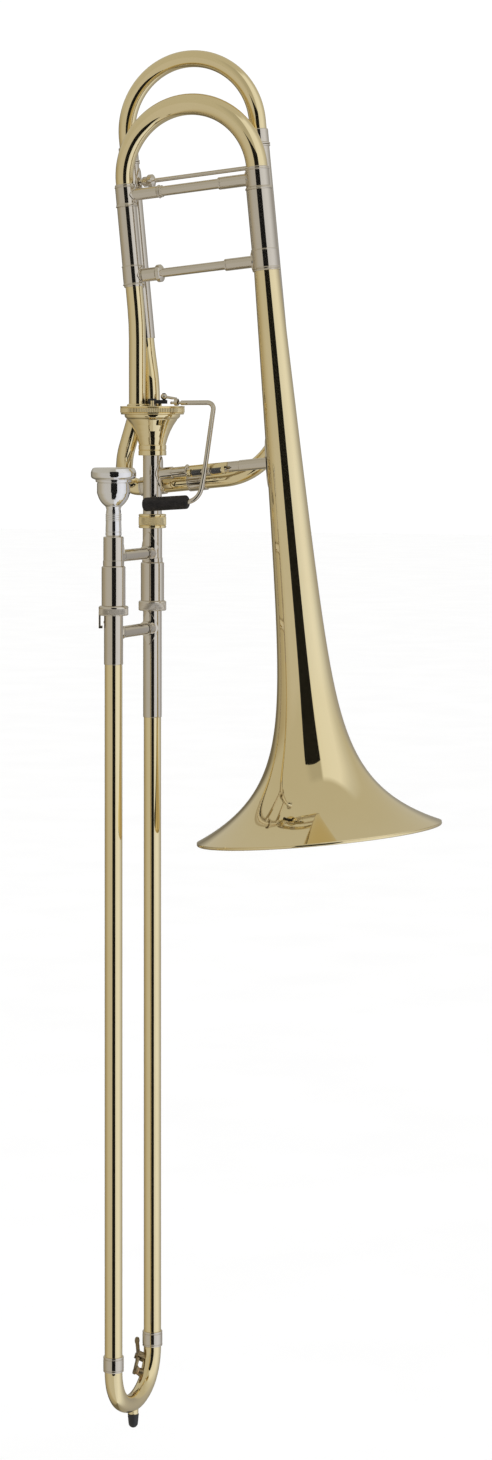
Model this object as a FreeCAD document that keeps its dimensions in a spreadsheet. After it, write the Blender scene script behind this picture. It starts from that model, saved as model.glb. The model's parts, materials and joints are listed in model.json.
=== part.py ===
import FreeCAD, Part
import math
import os
import re
import Sketcher

# Tenor-bass trombone with an F attachment on an axial-flow valve. Millimetres.
# Frame: +Z up along the slide, +X towards the bell, +Y from the mouthpiece side
# towards the bell side. Origin: middle of the upper slide brace, where the left
# hand holds the instrument.

V = FreeCAD.Vector
ORIGIN = V(0, 0, 0)
UP = V(0, 0, 1)
ALONG_X = V(1, 0, 0)
ALONG_Y = V(0, 1, 0)

doc = FreeCAD.newDocument("trombone")

# ---------------------------------------------------------------- driving sizes

SIZES = {
    # hand slide
    "slide_gap": 88,            # between the two slide axes
    "slide_bore": 13.9,
    "inner_od": 14.5,
    "stocking_od": 14.75,       # thicker foot of each inner tube, the bearing surface
    "stocking_length": 120,
    "outer_id": 14.9,
    "outer_od": 15.45,
    "outer_top": 21,            # outer tube's top below the upper brace
    "inner_foot": 700,          # inner tube's foot below the upper brace
    "bow_level": 708.8,         # where the slide bow starts
    "bow_depth": 38,            # from there to the bow's lowest centre line
    "bow_corner": 36,
    "ferrule_od": 17.8,
    "ferrule_length": 13.2,
    "lower_brace_drop": 67,
    "oversleeve_od": 16.6,
    "near_oversleeve_foot": 94,
    "far_oversleeve_foot": 147,
    "barrel_od": 20.8,
    "barrel_id": 18,
    "barrel_top": 8.4,
    "barrel_foot": 42.8,
    "barrel_ring_od": 24.8,
    "barrel_ring_foot": 51.2,
    "receiver_od": 17.1,
    "brace_rod_od": 9.8,
    # bell section
    "tilt": 5.7,                # degrees between the slide and the bell section
    "leg_gap": 127.6,           # between the main tuning slide's legs
    "leg_foot_x": -17,          # foot of the left tuning leg, from the bell-side slide axis
    "leg_foot_z": 230,
    "neck_od": 16.9,
    "neck_bore": 14.4,
    "neck_top": 87,
    "goose_od": 15.4,
    "goose_bore": 14.3,
    "left_leg_od": 15.7,
    "right_leg_od": 19.2,
    "leg_wall": 0.6,
    "lower_ferrule_top": 27,
    "sleeve_top": 79.8,
    "crook_level": 100.3,
    "bell_rim_radius": 107.95,
    "bell_foot": 487.5,           # rim below the left leg's foot, along the bell's axis
    "bell_wall": 0.6,
    "flare_height": 84.15,      # bell radius = flare * (span / (d + span)) ** power + throat - taper * d
    "flare_span": 343,
    "flare_power": 9.14,
    "throat_radius": 23.8,
    "throat_taper": 0.0254,
    # F attachment
    "f_offset": 22.5,             # behind the bell's plane
    "f_gap": 126.5,
    "f_od": 15.2,
    "f_bore": 14.2,
    "f_inner_od": 14.1,
    "f_inner_bore": 13.4,
    # valve and lever
    "port_radius": 14.5,
    "port_bore": 13.2,
    "rotor_foot": 97,
    "rotor_top": 121,
    "rotor_foot_radius": 8.9,
    "rotor_top_radius": 21.7,
    "valve_gap": 0.3,
    "cap_foot": 123.5,
    "cap_top": 131.1,
    "cap_od": 58,
    "cap_id": 47,
    "rotor_swing": 64,          # degrees
    "crank_radius": 10.5,
    "wire_od": 4.3,
    # mouthpiece
    "rim_od": 39.4,
    "cup_od": 28.9,
    "cup_bore": 25.6,
}

sheet = doc.addObject("Spreadsheet::Sheet", "Sizes")
for row, (alias, number) in enumerate(SIZES.items(), start=1):
    sheet.set(f"A{row}", alias)
    sheet.set(f"B{row}", str(number))
    sheet.setAlias(f"B{row}", alias)
doc.recompute()


def bound(text):
    """The expression with every alias read from the sheet."""
    return re.sub(r"[a-z]\w*", lambda word: "Sizes." + word.group(), str(text))


def val(text):
    """The value now of an expression on the sheet's aliases."""
    return float(sheet.evalExpression(bound(text)))


def mid_arc(start, end, radius):
    """A point half way along the minor arc; a positive radius bulges to the right."""
    chord = end - start
    half = chord.Length / 2
    side = V(chord.y, -chord.x, 0).normalize() * math.copysign(1, radius)
    rise = abs(radius) - math.sqrt(radius * radius - half * half)
    return (start + end) / 2 + side * rise


def frame_at(origin, z_axis=UP, x_axis=ALONG_X):
    """A placement with its local Z along z_axis and its local X as near x_axis as can be."""
    z = V(z_axis).normalize()
    y = z.cross(V(x_axis)).normalize()
    x = y.cross(z)
    return FreeCAD.Placement(FreeCAD.Matrix(
        x.x, y.x, z.x, origin.x,
        x.y, y.y, z.y, origin.y,
        x.z, y.z, z.z, origin.z,
        0, 0, 0, 1))


# ---------------------------------------------------------------- building blocks

NODES = {}


def keep(label, item):
    """Make an object one of the instrument's named pieces."""
    item.Label = label
    NODES[label] = item
    return item


def new_body(name, place):
    body = doc.addObject("PartDesign::Body", name)
    body.Placement = place
    return body


def sketch_on(body, name, role):
    sketch = body.newObject("Sketcher::SketchObject", name)
    planes = [item for item in body.Origin.OriginFeatures if item.Role == role]
    sketch.AttachmentSupport = [(planes[0], "")]
    sketch.MapMode = "FlatFace"
    return sketch


def draw_outline(sketch, corners):
    """A closed outline of (x, y) or (x, y, radius of the arc to the next corner)."""
    points = [V(val(corner[0]), val(corner[1]), 0) for corner in corners]
    count = len(points)
    for index, corner in enumerate(corners):
        start = points[index]
        end = points[(index + 1) % count]
        if len(corner) > 2:
            edge = Part.Arc(start, mid_arc(start, end, val(corner[2])), end)
        else:
            edge = Part.LineSegment(start, end)
        sketch.addGeometry(edge, False)
    starts = []
    for index in range(count):
        flipped = (sketch.getPoint(index, 1) - points[index]).Length > 1e-6
        starts.append((2, 1) if flipped else (1, 2))
    for index in range(count):
        after = (index + 1) % count
        link = Sketcher.Constraint("Coincident", index, starts[index][1], after, starts[after][0])
        sketch.addConstraint(link)
    for index, corner in enumerate(corners):
        for kind, text in (("DistanceX", corner[0]), ("DistanceY", corner[1])):
            hold_corner(sketch, kind, index, starts[index][0], text)
        if len(corner) > 2:
            arc = sketch.addConstraint(Sketcher.Constraint("Radius", index, abs(val(corner[2]))))
            sketch.renameConstraint(arc, f"Arc{index}")


def hold_corner(sketch, kind, index, end, text):
    """Hold one coordinate of a corner at an expression on the sheet."""
    if str(text) == "0":
        axis = -2 if kind == "DistanceX" else -1
        sketch.addConstraint(Sketcher.Constraint("PointOnObject", index, end, axis))
        return
    number = sketch.addConstraint(Sketcher.Constraint(kind, -1, 1, index, end, val(text)))
    sketch.renameConstraint(number, f"{kind}{index}")
    sketch.setExpression(f"Constraints.{kind}{index}", bound(text))


def turned(name, corners, place):
    """A piece turned about its local Z from an outline of (radius, height) corners."""
    body = new_body(name, place)
    sketch = sketch_on(body, name + "_outline", "XZ_Plane")
    draw_outline(sketch, corners)
    spin = body.newObject("PartDesign::Revolution", name + "_turn")
    spin.Profile = sketch
    spin.ReferenceAxis = (sketch, ["V_Axis"])
    spin.Angle = 360
    return body


def ring_outline(outer, inner, foot, top):
    """The outline of a plain ring or tube: outer and inner diameters and two heights."""
    return [(f"({inner}) / 2", foot), (f"({outer}) / 2", foot),
            (f"({outer}) / 2", top), (f"({inner}) / 2", top)]


def draw_circles(sketch, diameters):
    for index, text in enumerate(diameters):
        sketch.addGeometry(Part.Circle(ORIGIN, UP, val(text) / 2), False)
        sketch.addConstraint(Sketcher.Constraint("Coincident", index, 3, -1, 1))
        number = sketch.addConstraint(Sketcher.Constraint("Diameter", index, val(text)))
        sketch.renameConstraint(number, f"Across{index}")
        sketch.setExpression(f"Constraints.Across{index}", bound(text))


def route(steps):
    """Edges of a flat path in local XZ, from the origin and heading +Z.

    A step is (length,) for a straight run or (radius, degrees) for a bend, whose
    positive angles turn towards +X.
    """
    edges = []
    here = ORIGIN
    heading = 0.0
    for step in steps:
        ahead = V(math.sin(heading), math.cos(heading), 0)
        if len(step) == 1:
            there = here + ahead * step[0]
            edges.append(Part.LineSegment(here, there))
        else:
            radius, turn = step[0], math.radians(step[1])
            side = math.copysign(1, turn)
            centre = here + V(ahead.y, -ahead.x, 0) * radius * side

            def on_arc(angle):
                across = V(-math.cos(angle), math.sin(angle), 0) * side
                return centre + across * radius
            middle = on_arc(heading + turn / 2)
            heading += turn
            there = on_arc(heading)
            edges.append(Part.Arc(here, middle, there))
        here = there
    return edges


def pipe(name, steps, outer, inner, place):
    """A bent tube along a flat route."""
    body = new_body(name, place)
    path = sketch_on(body, name + "_route", "XZ_Plane")
    for index, edge in enumerate(route(steps)):
        path.addGeometry(edge, False)
        path.addConstraint(Sketcher.Constraint("Block", index))
    section = sketch_on(body, name + "_section", "XY_Plane")
    draw_circles(section, [outer] + ([inner] if inner else []))
    sweep = body.newObject("PartDesign::AdditivePipe", name + "_pipe")
    sweep.Profile = section
    sweep.Spine = (path, [f"Edge{index + 1}" for index in range(len(steps))])
    return body


def cylinder(name, diameter, length, place):
    rod = doc.addObject("Part::Cylinder", name)
    rod.setExpression("Radius", bound(f"({diameter}) / 2"))
    rod.setExpression("Height", bound(length))
    rod.Placement = place
    return rod


def cut(name, base, tool):
    result = doc.addObject("Part::Cut", name)
    result.Base = base
    result.Tool = tool
    return result


def fuse(name, pieces):
    result = doc.addObject("Part::MultiFuse", name)
    result.Shapes = pieces
    return result


def common(name, pieces):
    result = doc.addObject("Part::MultiCommon", name)
    result.Shapes = pieces
    return result


def pair(name, pieces):
    """Two or more separate solids of one kind, kept as one piece."""
    group = doc.addObject("Part::Compound", name)
    group.Links = pieces
    return group


def solid(name, shape):
    """A free-form piece, worked out from the sheet with the geometry kernel."""
    item = doc.addObject("Part::Feature", name)
    item.Shape = shape
    return item


def through(name, diameter, place, reach=400):
    """A long cylinder about a tube's axis, which cuts a saddle to fit the tube."""
    centred = place.multiply(FreeCAD.Placement(V(0, 0, -reach / 2), FreeCAD.Rotation()))
    return cylinder(name, diameter, reach, centred)


def diamond_flange(name, tube_place, tube_od, outwards, length, height, thickness=0.9):
    """A thin diamond plate that wraps a tube where a brace lands on it."""
    foot = new_body(name + "_lozenge", frame_at(tube_place.Base, outwards, tube_place.Rotation.multVec(UP)))
    sketch = sketch_on(foot, name + "_diamond", "XY_Plane")
    half = length / 2
    side = height / 2
    draw_outline(sketch, [(half, 0), (0, side), (-half, 0), (0, -side)])
    pad = foot.newObject("PartDesign::Pad", name + "_pad")
    pad.Profile = sketch
    pad.Length = 40
    shell = turned(name + "_shell",
                   ring_outline(f"{tube_od} + {2 * thickness}", tube_od, -length, length), tube_place)
    return common(name, [foot, shell])


def section_face(centre, heading, outer, inner):
    """A tube's cross-section, a disc or a ring square to its heading."""
    disc = Part.Face(Part.Wire(Part.Circle(centre, heading, outer / 2).toShape()))
    if not inner:
        return disc
    hole = Part.Face(Part.Wire(Part.Circle(centre, heading, inner / 2).toShape()))
    return disc.cut(hole).Faces[0]


def swept(points, outer, inner):
    """A tube along straight runs joined by tangent bends.

    points is a list of (corner, bend radius); the end points' radii aren't used.
    """
    corners = [corner for corner, _ in points]
    pieces = []
    here = corners[0]
    for index in range(1, len(points) - 1):
        corner, radius = points[index]
        before = (corner - corners[index - 1]).normalize()
        after = (corners[index + 1] - corner).normalize()
        turn = before.getAngle(after)
        setback = radius * math.tan(turn / 2)
        start = corner - before * setback
        run = start - here
        if run.dot(before) > 1e-6:
            pieces.append(section_face(here, before, outer, inner).extrude(run))
        axis = before.cross(after).normalize()
        centre = start + axis.cross(before) * radius
        bend = section_face(start, before, outer, inner).revolve(centre, axis, math.degrees(turn))
        pieces.append(bend)
        here = corner + after * setback
    last = corners[-1] - here
    pieces.append(section_face(here, last, outer, inner).extrude(last))
    return pieces[0].fuse(pieces[1:]).removeSplitter()


# ---------------------------------------------------------------- places

HALF_GAP = val("slide_gap") / 2
TILT = math.radians(val("tilt"))
LEG_UP = V(-math.sin(TILT), 0, math.cos(TILT))
CROSS = V(math.cos(TILT), 0, math.sin(TILT))
FACING = V(0, -1, 0)

NEAR = frame_at(V(0, -HALF_GAP, 0))
FAR = frame_at(V(0, HALF_GAP, 0))


def far_point(x, y, z):
    """A point given from the bell-side slide axis."""
    return V(x, HALF_GAP + y, z)


def leg_point(across, up, back=0):
    """A point in the tuning slide's frame: across the legs, up them and behind them."""
    foot = far_point(val("leg_foot_x"), back, val("leg_foot_z"))
    return foot + CROSS * across + LEG_UP * up


def leg_frame(across, up, back=0):
    return frame_at(leg_point(across, up, back), LEG_UP, CROSS)


# ---------------------------------------------------------------- inner slide

def make_inner_slide():
    bumpers = []
    for side, place in (("near", NEAR), ("far", FAR)):
        tube_outline = [
            ("slide_bore / 2", "-inner_foot"),
            ("stocking_od / 2", "-inner_foot"),
            ("stocking_od / 2", "-inner_foot + stocking_length"),
            ("inner_od / 2", "-inner_foot + stocking_length + 0.6"),
            ("inner_od / 2", "-barrel_top - 1"),
            ("slide_bore / 2", "-barrel_top - 1"),
        ]
        keep(f"inner_tube_{side}", turned(f"inner_tube_{side}", tube_outline, place))
        barrel_outline = [
            ("inner_od / 2", "-barrel_top - 2.2"),
            ("barrel_id / 2", "-barrel_top - 2.2"),
            ("barrel_id / 2", "-barrel_foot"),
            ("barrel_od / 2", "-barrel_foot"),
            ("barrel_od / 2", "-barrel_top - 0.8", 0.8),
            ("barrel_od / 2 - 0.8", "-barrel_top"),
            ("inner_od / 2", "-barrel_top"),
        ]
        keep(f"cork_barrel_{side}", turned(f"cork_barrel_{side}", barrel_outline, place))
        bumper = ring_outline("barrel_id - 0.1", "inner_od", "-outer_top + 0.4", "-barrel_top - 2.2")
        bumpers.append(turned(f"slide_bumper_{side}", bumper, place))
    keep("slide_bumpers", pair("slide_bumpers", bumpers))
    ring = ring_outline("barrel_ring_od", "barrel_id", "-barrel_ring_foot - 0.5", "-barrel_foot")
    keep("barrel_end_ring", turned("barrel_end_ring", ring, FAR))
    # The leadpipe lines the top of the mouthpiece-side inner tube.
    leadpipe = [("11.6 / 2", -12), ("slide_bore / 2 - 0.05", -12),
                ("slide_bore / 2 - 0.05", -215), ("slide_bore / 2 - 0.35", -215)]
    keep("leadpipe", turned("leadpipe", leadpipe, NEAR))


def make_receivers():
    mouthpiece_socket = [
        ("6.1", -8.4), ("9.05", -8.4), ("9.05", -3.8), ("receiver_od / 2 + 0.3", -3.8),
        ("receiver_od / 2 + 0.3", 16.5, 0.8), ("receiver_od / 2 - 0.5", 17.3), ("6.5", 17.3),
    ]
    keep("mouthpiece_receiver", turned("mouthpiece_receiver", mouthpiece_socket, NEAR))
    # The bell receiver is a taper that the neckpipe's foot sits in; its top is threaded
    # for the lock nut.
    bell_socket = [
        ("6.8", -8.4), ("9.2", -8.4), ("9.2", -4.7), ("receiver_od / 2 + 0.1", -4.7),
        ("receiver_od / 2 + 0.1", 30), ("7.5", 30), ("7.16", -3.6), ("6.8", -3.6),
    ]
    keep("bell_receiver", turned("bell_receiver", bell_socket, FAR))


def slide_brace(label, height, near_od, far_od, near_sleeve, far_sleeve, far_flange, near_flange,
                lift=0, neighbours=()):
    """A brace across the slide: a rod in two sleeves, with diamond flanges on the tubes."""
    gap = "slide_gap"
    place = frame_at(V(0, -HALF_GAP, height), ALONG_Y, ALONG_X)
    rod = "brace_rod_od / 2"
    outline = [
        ("0", 0),
        (5.6, 0), (5.6, f"{near_od} / 2 + {near_sleeve}"),
        (rod, f"{near_od} / 2 + {near_sleeve}"),
        (rod, f"{gap} - {far_od} / 2 - {far_sleeve}"),
        (5.9, f"{gap} - {far_od} / 2 - {far_sleeve}"),
        (5.9, gap), ("0", gap),
    ]
    bar = turned(label + "_bar", outline, place)
    trimmed = cut(label + "_trim_near", bar, through(label + "_near", near_od, NEAR))
    trimmed = cut(label + "_trim_far", trimmed, through(label + "_far", far_od, FAR))
    near_place = frame_at(V(0, -HALF_GAP, height + lift))
    far_place = frame_at(V(0, HALF_GAP, height + lift))
    plates = [
        diamond_flange(label + "_near_plate", near_place, near_od, ALONG_Y, near_flange, 17),
        diamond_flange(label + "_far_plate", far_place, far_od, FACING, far_flange, 17),
    ]
    brace = fuse(label + "_whole", [trimmed] + plates)
    for number, neighbour in enumerate(neighbours):
        brace = cut(f"{label}_clear_{number}", brace, NODES[neighbour])
    return keep(label, brace)


# ---------------------------------------------------------------- outer slide

BOW_RUN = 0.5
HOOK_TURN = 21.5                # degrees from -X to the open lock's hook
LOCK_TURN = 38                  # degrees from there to the stud
STUD_ANGLE = math.radians(180 + HOOK_TURN - LOCK_TURN)
STUD_WAY = V(math.cos(STUD_ANGLE), math.sin(STUD_ANGLE), 0)

KEY_SLOPE = math.radians(43)    # how far round the bow's corner the water key's nipple stands
KEY_LEAN = math.radians(46)     # how far it leans from the bow's plane towards -X
KEY_PIVOT = V(6.8, 0, 14)       # from the nipple's foot: outwards and up the tube


def key_frame():
    """The water key's placement: X out of the tube's skin, Z up the tube."""
    corner = val("bow_corner")
    inwards = V(0, -math.cos(KEY_SLOPE), math.sin(KEY_SLOPE))
    upwards = V(0, math.sin(KEY_SLOPE), math.cos(KEY_SLOPE))
    outwards = inwards * math.cos(KEY_LEAN) - ALONG_X * math.sin(KEY_LEAN)
    centre = V(0, HALF_GAP - corner, -val("bow_level") - BOW_RUN)
    skin = centre - inwards * corner + outwards * val("outer_od") / 2
    return frame_at(skin, upwards, outwards)


KEY_PLACE = key_frame()


def make_outer_slide():
    ferrules = []
    for side, place in (("near", NEAR), ("far", FAR)):
        body = ring_outline("outer_od", "outer_id", "-bow_level + 0.5", "-outer_top")
        keep(f"outer_tube_{side}", turned(f"outer_tube_{side}", body, place))
        sleeve = ring_outline("oversleeve_od", "outer_od", f"-{side}_oversleeve_foot", "-outer_top")
        keep(f"oversleeve_{side}", turned(f"oversleeve_{side}", sleeve, place))
        ferrule = ferrule_outline("ferrule_od / 2", "outer_od / 2", "-bow_level", "ferrule_length")
        ferrules.append(turned(f"bow_ferrule_{side}", ferrule, place))
    keep("bow_ferrules", pair("bow_ferrules", ferrules))
    make_slide_bow()


def ferrule_outline(outer, inner, foot, length):
    """A ferrule with a raised bead near each end; outer and inner are radii."""
    bead = 0.35
    return [
        (inner, foot), (outer, foot),
        (outer, f"{foot} + 1"), (f"{outer} + {bead}", f"{foot} + 1.3"),
        (f"{outer} + {bead}", f"{foot} + 2"), (outer, f"{foot} + 2.3"),
        (outer, f"{foot} + {length} - 2.3"), (f"{outer} + {bead}", f"{foot} + {length} - 2"),
        (f"{outer} + {bead}", f"{foot} + {length} - 1.3"), (outer, f"{foot} + {length} - 1"),
        (outer, f"{foot} + {length}"), (inner, f"{foot} + {length}"),
    ]


def make_slide_bow():
    """The bow is a flattened U: two tight corners joined by a wide arc."""
    corner = val("bow_corner")
    half = HALF_GAP
    depth = val("bow_depth")
    # The wide arc's radius follows from the half gap and the depth that the corners leave.
    spare = half - corner
    drop = depth - corner
    wide = corner + (spare * spare + drop * drop) / (2 * drop)
    rest = math.degrees(math.asin(spare / (wide - corner)))
    place = frame_at(V(0, -half, -val("bow_level")), -UP, ALONG_Y)
    steps = [(BOW_RUN,), (corner, 90 - rest), (wide, 2 * rest), (corner, 90 - rest), (BOW_RUN,)]
    keep("slide_bow", pipe("slide_bow", steps, "outer_od", "outer_id - 0.3", place))


def make_bow_fittings():
    """The bumper under the bow, the lock stud and the water key's seat."""
    foot = val("bow_level") + BOW_RUN + val("bow_depth") + val("outer_od") / 2
    collar = [("0", -2.8), (4.6, -2.8), (4.6, 1.5), ("0", 1.5)]
    base = turned("bow_collar_blank", collar, frame_at(V(0, 0, -foot)))
    crown = frame_at(V(0, 0, -foot + val("outer_od") / 2), ALONG_Y, ALONG_X)
    keep("bow_collar", cut("bow_collar", base, through("bow_crown", "outer_od", crown)))
    bumper = [("0", -14), (2.6, -14, 1.6), (4.2, -12.4), (4.85, -2.8), ("0", -2.8)]
    keep("bow_bumper", turned("bow_bumper", bumper, frame_at(V(0, 0, -foot))))
    # A stud on the mouthpiece-side oversleeve, which the lock ring's hook turns behind.
    stud_level = -val("barrel_ring_foot") - 6.2
    stud = cylinder("lock_stud_rod", 3.2, 2.4, frame_at(V(0, -HALF_GAP, stud_level), STUD_WAY, UP))
    stud.Placement.Base += STUD_WAY * (val("oversleeve_od") / 2 - 0.6)
    stud_saddle = through("lock_stud_saddle", "oversleeve_od", NEAR, 200)
    keep("lock_stud", cut("lock_stud", stud, stud_saddle))


def make_lock_ring():
    """The slide lock: a ring under the cork barrel with a hook that reaches down."""
    ring_top = "-barrel_foot - 0.3"
    ring = [
        ("oversleeve_od / 2 + 0.4", ring_top), ("barrel_od / 2", ring_top),
        ("barrel_ring_od / 2 + 0.5", "-barrel_foot - 2.2"),
        ("barrel_ring_od / 2 + 0.5", "-barrel_ring_foot + 0.6"),
        ("barrel_ring_od / 2", "-barrel_ring_foot"),
        ("oversleeve_od / 2 + 0.4", "-barrel_ring_foot"),
    ]
    collar = turned("lock_collar", ring, NEAR)
    reach = val("barrel_ring_od") / 2 + 0.5
    strip_foot = -val("barrel_ring_foot") - 11.2
    strip = Part.makeBox(1.7, 6, 15, V(-reach, -3, strip_foot))
    foot = Part.makeBox(3.4, 6, 2.2, V(-reach, -3, strip_foot))
    hook = strip.fuse(foot)
    hook.rotate(ORIGIN, UP, HOOK_TURN)
    hook.translate(V(0, -HALF_GAP, 0))
    keep("slide_lock_ring", fuse("slide_lock_ring", [collar, solid("lock_hook", hook)]))


def bar_between(start, end, width, thickness):
    """A flat bar in the local XZ plane, square at its ends and wide along Y."""
    way = end - start
    bar = Part.makeBox(thickness, width, way.Length, V(-thickness / 2, -width / 2, 0))
    bar.Placement = frame_at(start, way, V(way.z, 0, -way.x))
    return bar


def make_water_key():
    """The key on the bow's inner front: nipple, saddle with its pin, cork and lever.

    It is drawn with the tube's skin at local X = 0, X outwards and Z up the tube.
    """
    corner = val("bow_corner")
    tube = val("outer_od") / 2
    centre = V(0, HALF_GAP - corner, -val("bow_level") - BOW_RUN)
    out = V(1, 0, 0)
    pin = Part.makeCylinder(0.9, 9.4, KEY_PIVOT - ALONG_Y * 4.7, ALONG_Y)
    ears = [Part.makeBox(KEY_PIVOT.x + 4.8, 1.2, 5, V(-3, y, KEY_PIVOT.z - 2.5)) for y in (-4.2, 3.0)]
    web = Part.makeBox(6.6, 8.4, 5, V(-3, -4.2, KEY_PIVOT.z - 2.5))
    nipple = Part.makeCone(4.2, 3.2, 4.7, V(-1.6, 0, 0), out).cut(Part.makeCylinder(1.6, 9, V(-3, 0, 0), out))
    cork = Part.makeCylinder(3.4, 1.6, V(3.1, 0, 0), out)
    cup = Part.makeCylinder(4.1, 1.6, V(4.7, 0, 0), out)
    touch = KEY_PIVOT + V(5, 0, 12)
    touch_end = touch + V(1.6, 0, 3.8)
    lever = bar_between(KEY_PIVOT, V(5.9, 0, 0), 4.4, 1.8).fuse([
        bar_between(KEY_PIVOT, touch, 4.4, 1.6),
        Part.makeCylinder(1.9, 5.2, KEY_PIVOT - ALONG_Y * 2.6, ALONG_Y),
        Part.makeSphere(3.2, touch).common(bar_between(KEY_PIVOT, touch_end, 9, 1.8)),
        cup,
    ])
    lever = lever.cut(Part.makeCylinder(0.95, 20, KEY_PIVOT - ALONG_Y * 10, ALONG_Y))
    straight = Part.makeCylinder(tube, 80, V(0, HALF_GAP, -val("bow_level") - BOW_RUN))
    bow = Part.makeTorus(corner, tube, centre, ALONG_X)
    seat = []
    for name, shape in (("water_key_saddle", web.fuse(ears + [pin])), ("water_key_nipple", nipple)):
        shape.Placement = KEY_PLACE
        seat.append(solid(name, shape.cut([straight, bow])))
    keep("water_key_seat", pair("water_key_seat", seat))
    for name, shape in (("water_key_cork", cork), ("water_key_lever", lever)):
        shape.Placement = KEY_PLACE
        keep(name, solid(name, shape))


def make_mouthpiece():
    outline = [
        ("5.1", -9), ("5.85", -9), ("6.38", 17.6), ("7.0", 18.4), ("7.0", 31),
        ("7.0", 32.6, 0.9), ("7.0", 34.0, 0.9), ("7.0", 35.4, 0.9), ("7.0", 36.8, 0.9),
        ("6.6", 38.2), ("6.2", 41), ("7.0", 43.5, 18), ("cup_od / 2 - 0.6", 53.5, 6),
        ("cup_od / 2", 57), ("cup_od / 2", 64), ("cup_od / 2 + 1", 64.8), ("cup_od / 2 + 1.3", 66.2),
        ("rim_od / 2 - 1.4", 67.8, 3), ("rim_od / 2", 71, 6), ("rim_od / 2 - 1", 75.6, 2.4),
        ("rim_od / 2 - 3.2", 77.3, 5), ("cup_bore / 2 + 0.6", 76.4, 2), ("cup_bore / 2", 74.6),
        ("cup_bore / 2 - 1.4", 60, -16), ("5", 50.2, 5), ("3.6", 46.5), ("3.6", 40),
    ]
    keep("mouthpiece", turned("mouthpiece", outline, NEAR))


def make_lock_nut():
    outline = [
        ("8.8", 22.1), ("11.6", 22.1), ("12.3", 22.8), ("12.3", 24.4), ("11.9", 24.8),
        ("11.9", 31.9), ("12.3", 32.3), ("12.3", 33.9), ("11.6", 34.6), ("8.8", 34.6),
    ]
    keep("bell_lock_nut", turned("bell_lock_nut", outline, FAR))


# ---------------------------------------------------------------- valve

def cavity_radius(height):
    """The rotor chamber's radius at a height: a plain cone."""
    foot, top = val("rotor_foot"), val("rotor_top")
    share = (height - foot) / (top - foot)
    narrow = val("rotor_foot_radius") + val("valve_gap")
    wide = val("rotor_top_radius") + val("valve_gap")
    return narrow + (wide - narrow) * share


def port(azimuth, height):
    """The centre of a port on the valve's top plate."""
    angle = math.radians(azimuth)
    radius = val("port_radius")
    return far_point(radius * math.cos(angle), radius * math.sin(angle), height)


OPEN_PORT = 180
F_PORT = 116
REST_SIDE = OPEN_PORT + val("rotor_swing")
RETURN_TOP = far_point(-16.1, 0, 121)
RETURN_MID = far_point(-22.4, 0, 100.8)


def make_valve():
    neck = [
        ("6.5", -3.5), ("7.1", -3.5), ("7.45", 30.4), ("neck_od / 2", 30.4),
        ("neck_od / 2", "neck_top + 4"), ("neck_bore / 2", "neck_top + 4"), ("neck_bore / 2", 40),
    ]
    keep("neckpipe", turned("neckpipe", neck, FAR))
    inner_foot = "rotor_foot_radius + valve_gap"
    inner_top = "rotor_top_radius + valve_gap"
    casing = [
        ("neck_od / 2", "neck_top"), (12.2, "neck_top"), (12.5, "neck_top + 0.3"),
        (12.5, "neck_top + 4.3"), (12.1, "neck_top + 4.7"), (12.5, "neck_top + 5.1"),
        (12.5, "neck_top + 9.2"), (12.2, "neck_top + 9.5"), (12.3, "neck_top + 10.5", -58),
        (22.2, 118.8), (24.3, 120.9), (24.9, 122.2), (24.9, "cap_foot"),
        (23.4, "cap_foot"), (23.4, 121.3), (inner_top, 121.3), (inner_top, "rotor_top"),
        (inner_foot, "rotor_foot"), (inner_foot, "rotor_foot - 0.3"),
        ("neck_bore / 2", "rotor_foot - 0.3"), ("neck_bore / 2", "neck_top + 4"),
        ("neck_od / 2", "neck_top + 4"),
    ]
    shell = turned("valve_shell", casing, FAR)
    way = RETURN_MID - RETURN_TOP
    side_port = cylinder("return_port", "port_bore", 60, frame_at(RETURN_TOP, way, ALONG_Y))
    keep("valve_casing", cut("valve_casing", shell, side_port))
    cap = [
        ("cap_id / 2", "cap_foot"), ("cap_od / 2 - 1", "cap_foot"), ("cap_od / 2", "cap_foot + 1", 12),
        ("cap_od / 2", "cap_top - 1"), ("cap_od / 2 - 1.2", "cap_top"), ("cap_id / 2", "cap_top"),
    ]
    keep("valve_cap", turned("valve_cap", cap, FAR))
    make_plate()
    make_rotor()


def make_plate():
    """The plate that holds the two upper ports and the rotor's bearing."""
    bottom, top = 121.3, val("cap_top") - 0.2
    plate = Part.makeCylinder(23.3, top - bottom, far_point(0, 0, bottom))
    for azimuth in (OPEN_PORT, F_PORT):
        plate = plate.fuse(Part.makeCylinder(8.6, top + 1.8 - bottom, port(azimuth, bottom)))
    reach = val("crank_radius") - 0.9
    for side in (1, -1):
        angle = side * math.radians(68)
        foot = far_point(reach * math.cos(angle), reach * math.sin(angle), top - 2)
        plate = plate.fuse(Part.makeCylinder(1.6, 7, foot))
    for azimuth in (OPEN_PORT, F_PORT):
        plate = plate.cut(Part.makeCylinder(val("port_bore") / 2, 30, port(azimuth, bottom - 5)))
        od = val("goose_od") if azimuth == OPEN_PORT else val("f_od")
        plate = plate.cut(Part.makeCylinder(od / 2, 30, port(azimuth, top)))
    plate = plate.cut(Part.makeCylinder(3.08, 30, far_point(0, 0, bottom - 5)))
    keep("valve_plate", solid("valve_plate", plate))


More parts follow.
